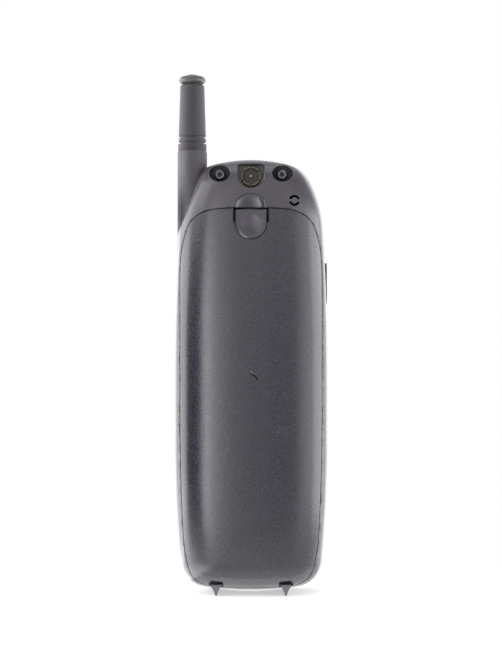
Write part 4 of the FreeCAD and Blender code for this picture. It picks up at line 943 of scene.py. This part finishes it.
def made_real(tree, instances, material):
    """The end of a tree: its copies become real faces with one finish."""
    real = given_by(tree, "GeometryNodeRealizeInstances", {"Geometry": instances})
    return given_by(tree, "GeometryNodeSetMaterial", {"Geometry": real, "Material": material})


driven, given, result = node_tree_for_pieces(
    "driven_screws", [("Screw", "Object"), ("Steel", "Material"), ("Seed", "Int")])
turn = place(driven, "FunctionNodeRandomValue", {"Max": 6.28, "Seed": given["Seed"]}, data_type="FLOAT")
spun = given_by(driven, "ShaderNodeCombineXYZ", {"Y": turn.outputs[1]})
set_in = copied(driven, given["Geometry"], given["Screw"], Rotation=spun)
feed(result, Geometry=made_real(driven, set_in, given["Steel"]))
seats = bpy.data.meshes.new("seats")
seats.from_pydata(screw_seats, [], [])
screws = grown(driven, seats, {"Screw": screw_object, "Steel": screw_steel, "Seed": 4})
piece_of(screws, "case_screws", "phone", None, ("housing_screws",))


# Aerial: a tapered sleeve of dark rubbery plastic with two grooves and a collar, screwed into the
# tower, and the worn cap of the pull-up rod on top of it.

sleeve_slate = moulded("sleeve_slate", (64, 60, 68), 0.6, grain=2200.0, contrast=0.16, edge_wear_and_highlight=0.4,
                       speck=0.1, ior=1.36)
smooth_copy("antenna_stub", "aerial_sleeve", sleeve_slate)

wear_starts, wear_ends, wear_ragged = 0.1747, 0.1762, 0.0022     # heights, and how far the edge strays
cap_worn, tree, shader = finish("worn_cap", Roughness=0.46, IOR=1.5)
dark = grouped(tree, mottle, Colour=colour(70, 66, 67), Spots_per_metre=2600.0, Contrast=0.16)
bare = grouped(tree, mottle, Colour=colour(116, 104, 80), Spots_per_metre=1700.0, Contrast=0.2)
height = place(tree, "ShaderNodeSeparateXYZ", {0: spot_on(tree)}).outputs["Z"]
ragged = figured(tree, "MULTIPLY_ADD", bare["Value"], wear_ragged, height)
worn = ranged(tree, ragged, wear_starts, wear_ends)
shade = tinted_by(tree, dark["Colour"], worn, 0.85, bare["Colour"])
shade = tinted_by(tree, shade, grouped(tree, sharp_edges, Width=0.0004)["Mask"], 0.5, colour(150, 134, 116))
feed(shader, Base_Color=shade, Roughness=varied(tree, bare["Value"], 0.45, 0.11),
     Normal=raised(tree, bare["Value"], 0.00004))
smooth_copy("antenna_cap", "aerial_cap", cap_worn)


# Battery pack: nickel cells in a tray, closed by a moulded cover that is the phone's back. Ears of
# the rear shell hold its foot, and a latch holds its head.

pack_marks = [     # start, end, width, depth and tint of each scuff
    ((-0.0001, 0.0131, 0.0744), (-0.0022, 0.0131, 0.0722), 0.0009, -1.5, (20, 19, 24)),
    ((-0.0001, 0.0131, 0.0746), (-0.0005, 0.0131, 0.0742), 0.0004, -0.3, (108, 106, 110)),
    ((-0.0007, 0.0131, 0.0733), (-0.0016, 0.0131, 0.0723), 0.00025, 0.0, (64, 62, 68)),
    ((0.0146, 0.0128, 0.1181), (0.0066, 0.0131, 0.1192), 0.00026, -0.4, (112, 110, 118)),
    ((0.0120, 0.0128, 0.1172), (0.0072, 0.0131, 0.1178), 0.0002, -0.4, (106, 104, 112)),
    ((-0.0142, 0.0129, 0.0374), (-0.0143, 0.0129, 0.0372), 0.0003, 0.3, (140, 138, 142)),
]
above_all = 0.2     # a groove this high takes in the whole piece, so all its edges are painted dark as shade
pack_slate = moulded("pack_slate", (42, 39, 51), 0.22, grain=2300.0, contrast=1.1, blotch=0.03,
                     scuffs=pack_marks, groove=above_all, relief=0.00003, sparkle=0.02)
tray_grey = moulded("tray_grey", (58, 57, 62), 0.5, edge_wear_and_highlight=0.3, speck=0.0)
cell_sleeve = mottled("cell_sleeve", (58, 84, 118), 600.0, 0.05, 0.00001, Roughness=0.35)
smooth_copy("battery_cover", "pack_cover", pack_slate, facing=rear_skin)
smooth_copy("battery_tray", "pack_tray", tray_grey)
dress(cell_sleeve, "battery_cells")
dress(steel_bright, "latch_pin", "latch_spring")


# Release tab: a D-shaped moulding at the head of the pack that pivots on a steel pin, with a thumb
# dish in it and a hook behind it. A leaf spring keeps it out.

# Painted light on the tab: a pale highlight along the lower left of the D's rim, in two strokes, and
# painted shade in the thumb dish.
tab_highlight_and_shade = [
    ((0.0037, 0.0131, 0.1211), (0.0028, 0.0131, 0.1199), 0.00055, 0.0, (120, 118, 122)),
    ((0.0028, 0.0131, 0.1199), (0.0014, 0.0131, 0.1191), 0.0006, 0.0, (134, 132, 135)),
    ((-0.0001, 0.0125, 0.1214), (-0.0008, 0.0125, 0.1208), 0.0014, 0.0, (24, 23, 27)),
]
# The tab's edges are all painted dark as shade, by a groove that takes in the whole piece.
tab_slate = moulded("tab_slate", (52, 48, 58), 0.38, grain=2000.0, contrast=0.12, edge_wear_and_highlight=0.2,
                    groove=above_all, scuffs=tab_highlight_and_shade)
smooth_copy("battery_latch", "release_tab", tab_slate)


# Volume rocker: a charcoal moulding in the side of the front shell, with fine cross ribs at each
# end that a thumb can feel.

rocker_charcoal = moulded("rocker_charcoal", (66, 62, 71), 0.27, edge_wear_and_highlight=0.4, speck=0.0)
smooth_copy("volume_rocker", "rocker", rocker_charcoal)

# One rib, as it stands out of the side, in millimetres: out and up at each point, and its half length.
rib_profile, rib_half = [(0.0, -0.16), (-0.09, -0.11), (-0.13, 0.0), (-0.09, 0.11), (0.0, 0.16)], 0.95
rib = bpy.data.meshes.new("rib")
verts = [(x * 0.001, y * 0.001, z * 0.001) for y in (-rib_half, rib_half) for x, z in rib_profile]
faces = [(i, i + 1, i + 6, i + 5) for i in range(4)] + [(0, 5, 9, 4), (4, 3, 2, 1, 0), (5, 6, 7, 8, 9)]
rib.from_pydata(verts, [], faces)
turned_out(rib)
rib_object = bpy.data.objects.new("rib", rib)

ribbing, given, result = node_tree_for_pieces(
    "thumb_ribs", [("Count", "Int"), ("Pitch", "Vector"), ("Upper start", "Vector"),
                   ("Lower start", "Vector"), ("Rib", "Object"), ("Plastic", "Material")])
both = place(ribbing, "GeometryNodeJoinGeometry")
for label in ("Upper start", "Lower start"):
    spots = given_by(ribbing, "GeometryNodeMeshLine", {
        "Count": given["Count"], "Start Location": given[label], "Offset": given["Pitch"]})
    feed(both, Geometry=copied(ribbing, spots, given["Rib"]))
feed(result, Geometry=made_real(ribbing, both.outputs[0], given["Plastic"]))
rib_count, rib_pitch, rib_sink, first_upper, first_lower = 4, 0.0009, 0.00002, 0.0022, -0.0049
low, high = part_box("volume_rocker")
side, middle_y, middle_z = low.x + rib_sink, (low.y + high.y) / 2, (low.z + high.z) / 2
ribs = grown(ribbing, bpy.data.meshes.new("ribs"), {
    "Count": rib_count, "Pitch": (0.0, 0.0, rib_pitch), "Rib": rib_object, "Plastic": rocker_charcoal,
    "Upper start": (side, middle_y, middle_z + first_upper),
    "Lower start": (side, middle_y, middle_z + first_lower)})
piece_of(ribs, "rocker_ribs", nodes["volume_rocker"]["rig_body"], None)


# Table: a low pale block that the phone stands on, ending just under its front so that the open
# flip hangs clear, and a pale floor all round it.

table_front, table_back, table_half, floor_level, floor_half = -0.0066, 0.13, 0.15, -0.4, 2.6
table = bpy.data.meshes.new("table")
table_corners = ((-table_half, table_front), (table_half, table_front),
                 (table_half, table_back), (-table_half, table_back))
verts = [(x, y, z) for z in (0.0, floor_level) for x, y in table_corners]
verts += [(x * floor_half, y * floor_half, floor_level) for x, y in ((-1, -1), (1, -1), (1, 1), (-1, 1))]
table.from_pydata(verts, [], [(0, 1, 2, 3), (0, 4, 5, 1), (1, 5, 6, 2), (2, 6, 7, 3), (3, 7, 4, 0),
                              (4, 8, 9, 5), (5, 9, 10, 6), (6, 10, 11, 7), (7, 11, 8, 4)])
table_white, tree, shader = finish("pale_table", Roughness=0.6)
paper = grouped(tree, mottle, Colour=colour(226, 226, 226), Spots_per_metre=60.0, Contrast=0.01)
shade_near, shade_far, shade_level = 0.02, 0.12, 0.45     # near the phone the white lets its shadow show
seen = place(tree, "ShaderNodeLightPath").outputs
pale = ranged(tree, vectored(tree, "LENGTH", spot_on(tree)), shade_near, shade_far, shade_level)
direct = figured(tree, "MULTIPLY", seen["Is Camera Ray"], pale)
mirrored = figured(tree, "MAXIMUM", seen["Is Glossy Ray"], seen["Is Transmission Ray"])
feed(shader, Base_Color=paper["Colour"], Emission_Strength=figured(tree, "MAXIMUM", direct, mirrored))
shader.inputs["Emission Color"].default_value = (1, 1, 1, 1)
table.materials.append(table_white)
table_object = set_up("table", table)


# Studio: a white tent all round. Tall soft boxes stand in a ring: narrow ones left and right of the
# camera, wide ones above it, one at each side and two behind. One more hangs above, and three lie on
# the table and light the foot of the phone.

world = bpy.data.worlds.new("studio_white")
bpy.context.scene.world = world
world.use_nodes = True
tree = world.node_tree
tree.nodes.clear()
tent_glow = 0.2     # how far the tent itself lights the phone
seen = place(tree, "ShaderNodeLightPath").outputs
shown = figured(tree, "MAXIMUM", seen["Is Camera Ray"], seen["Is Glossy Ray"])
shown = figured(tree, "MAXIMUM", shown, seen["Is Transmission Ray"])
tent = given_by(tree, "ShaderNodeBackground", {
    "Color": (1, 1, 1, 1), "Strength": ranged(tree, shown, 0.0, 1.0, tent_glow)})
place(tree, "ShaderNodeOutputWorld", {"Surface": tent})


def soft_box(name, where, aim, width, height, brightness, sheen_only=False):
    """A rectangular lamp of a given surface brightness that points at a spot. A sheen lamp is seen
    in glossy surfaces and lights nothing else."""
    lamp = bpy.data.lights.new(name, "AREA")
    lamp.shape = "RECTANGLE"
    lamp.size, lamp.size_y, lamp.energy = width, height, 4 * width * height * brightness
    held = set_up(name, lamp)
    held.location = where
    held.rotation_euler = (Vector(aim) - Vector(where)).to_track_quat("-Z", "Y").to_euler()
    held.visible_camera = False
    held.visible_diffuse = not sheen_only


ring, low_end, shoulder, mid, top = 0.7, -0.35, 0.185, 0.3, 0.6     # the ring's radius, and heights
for name, start, end, foot, head, brightness, sheen_only in (     # start and end are turns in degrees
        ("left_edge", 20, 28.5, low_end, shoulder, 6.0, True),
        ("left_middle", 12, 20, low_end, shoulder, 2.2, True),
        ("left_inner", 4, 12, low_end, shoulder, 1.1, True),
        ("upper_front", -28, 40, shoulder, top, 0.6, True),
        ("middle_front", -28, 30, 0.1, shoulder, 0.25, True),
        ("upper_left", 37, 66, 0.2, top, 2.8, True),
        ("left_side", 66, 116, low_end, top, 4.4, False),
        ("right_inner", -40, -28, low_end, mid, 1.3, True),
        ("right_outer", -58, -40, low_end, mid, 2.0, True),
        ("right_side", -112, -58, low_end, mid, 4.4, False),
        ("left_back", 118, 160, low_end, top, 2.0, False),
        ("right_back", -160, -115, low_end, top, 1.5, False)):
    turn = math.radians((start + end) / 2)
    width = 2 * ring * math.tan(math.radians(end - start) / 2)
    where = (ring * math.sin(turn), ring * math.cos(turn), (foot + head) / 2)
    soft_box(name, where, (0, 0, where[2]), width, head - foot, brightness, sheen_only)
for name, (x, y, z), width, depth, brightness in (     # these lie flat and face up
        ("table_glow", (0, 0.0125, 0.0003), 0.2, 0.035, 0.7),
        ("foot_glow", (0, 0.0115, 0.0004), 0.2, 0.011, 1.1),
        ("left_table", (0.187, 0.006, 0.0002), 0.326, 0.078, 2.7)):
    soft_box(name, (x, y, z), (x, y, 1), width, depth, brightness, True)
soft_box("overhead", (0.0, 0.2, 0.85), (0, 0, 0.1), 0.8, 0.7, 1.3)


# Grey card: stands between the left lamps and keeps the tent's white off that flank of the phone.

card_turns, card_ring = (32, 61), 1.03 * ring     # just behind the lamps
card = bpy.data.meshes.new("grey_card")
corners = [(card_ring * math.sin(math.radians(turn)), card_ring * math.cos(math.radians(turn)), z)
           for z in (low_end, shoulder) for turn in card_turns]
card.from_pydata(corners, [], [(0, 1, 3, 2)])
card_grey = mottled("grey_card", (96, 96, 98), 200.0, 0.03, Roughness=0.9)
card.materials.append(card_grey)
card_object = set_up("grey_card", card)
card_object.visible_camera = False


# Camera: straight on to the back of the phone, half a metre off, at the middle of its height.

view_angle, camera_distance, camera_height = 25.67, 0.5, 0.0869     # degrees across, then metres
camera = bpy.data.cameras.new("camera")
camera.sensor_width = 36.0
camera.lens = camera.sensor_width / 2 / math.tan(math.radians(view_angle / 2))
camera.clip_start = 0.05
held = set_up("camera", camera)
held.location = (0.0, camera_distance, camera_height)
held.rotation_euler = (math.pi / 2, 0.0, math.pi)
bpy.context.scene.camera = held
bpy.context.scene.view_settings.view_transform = "Standard"
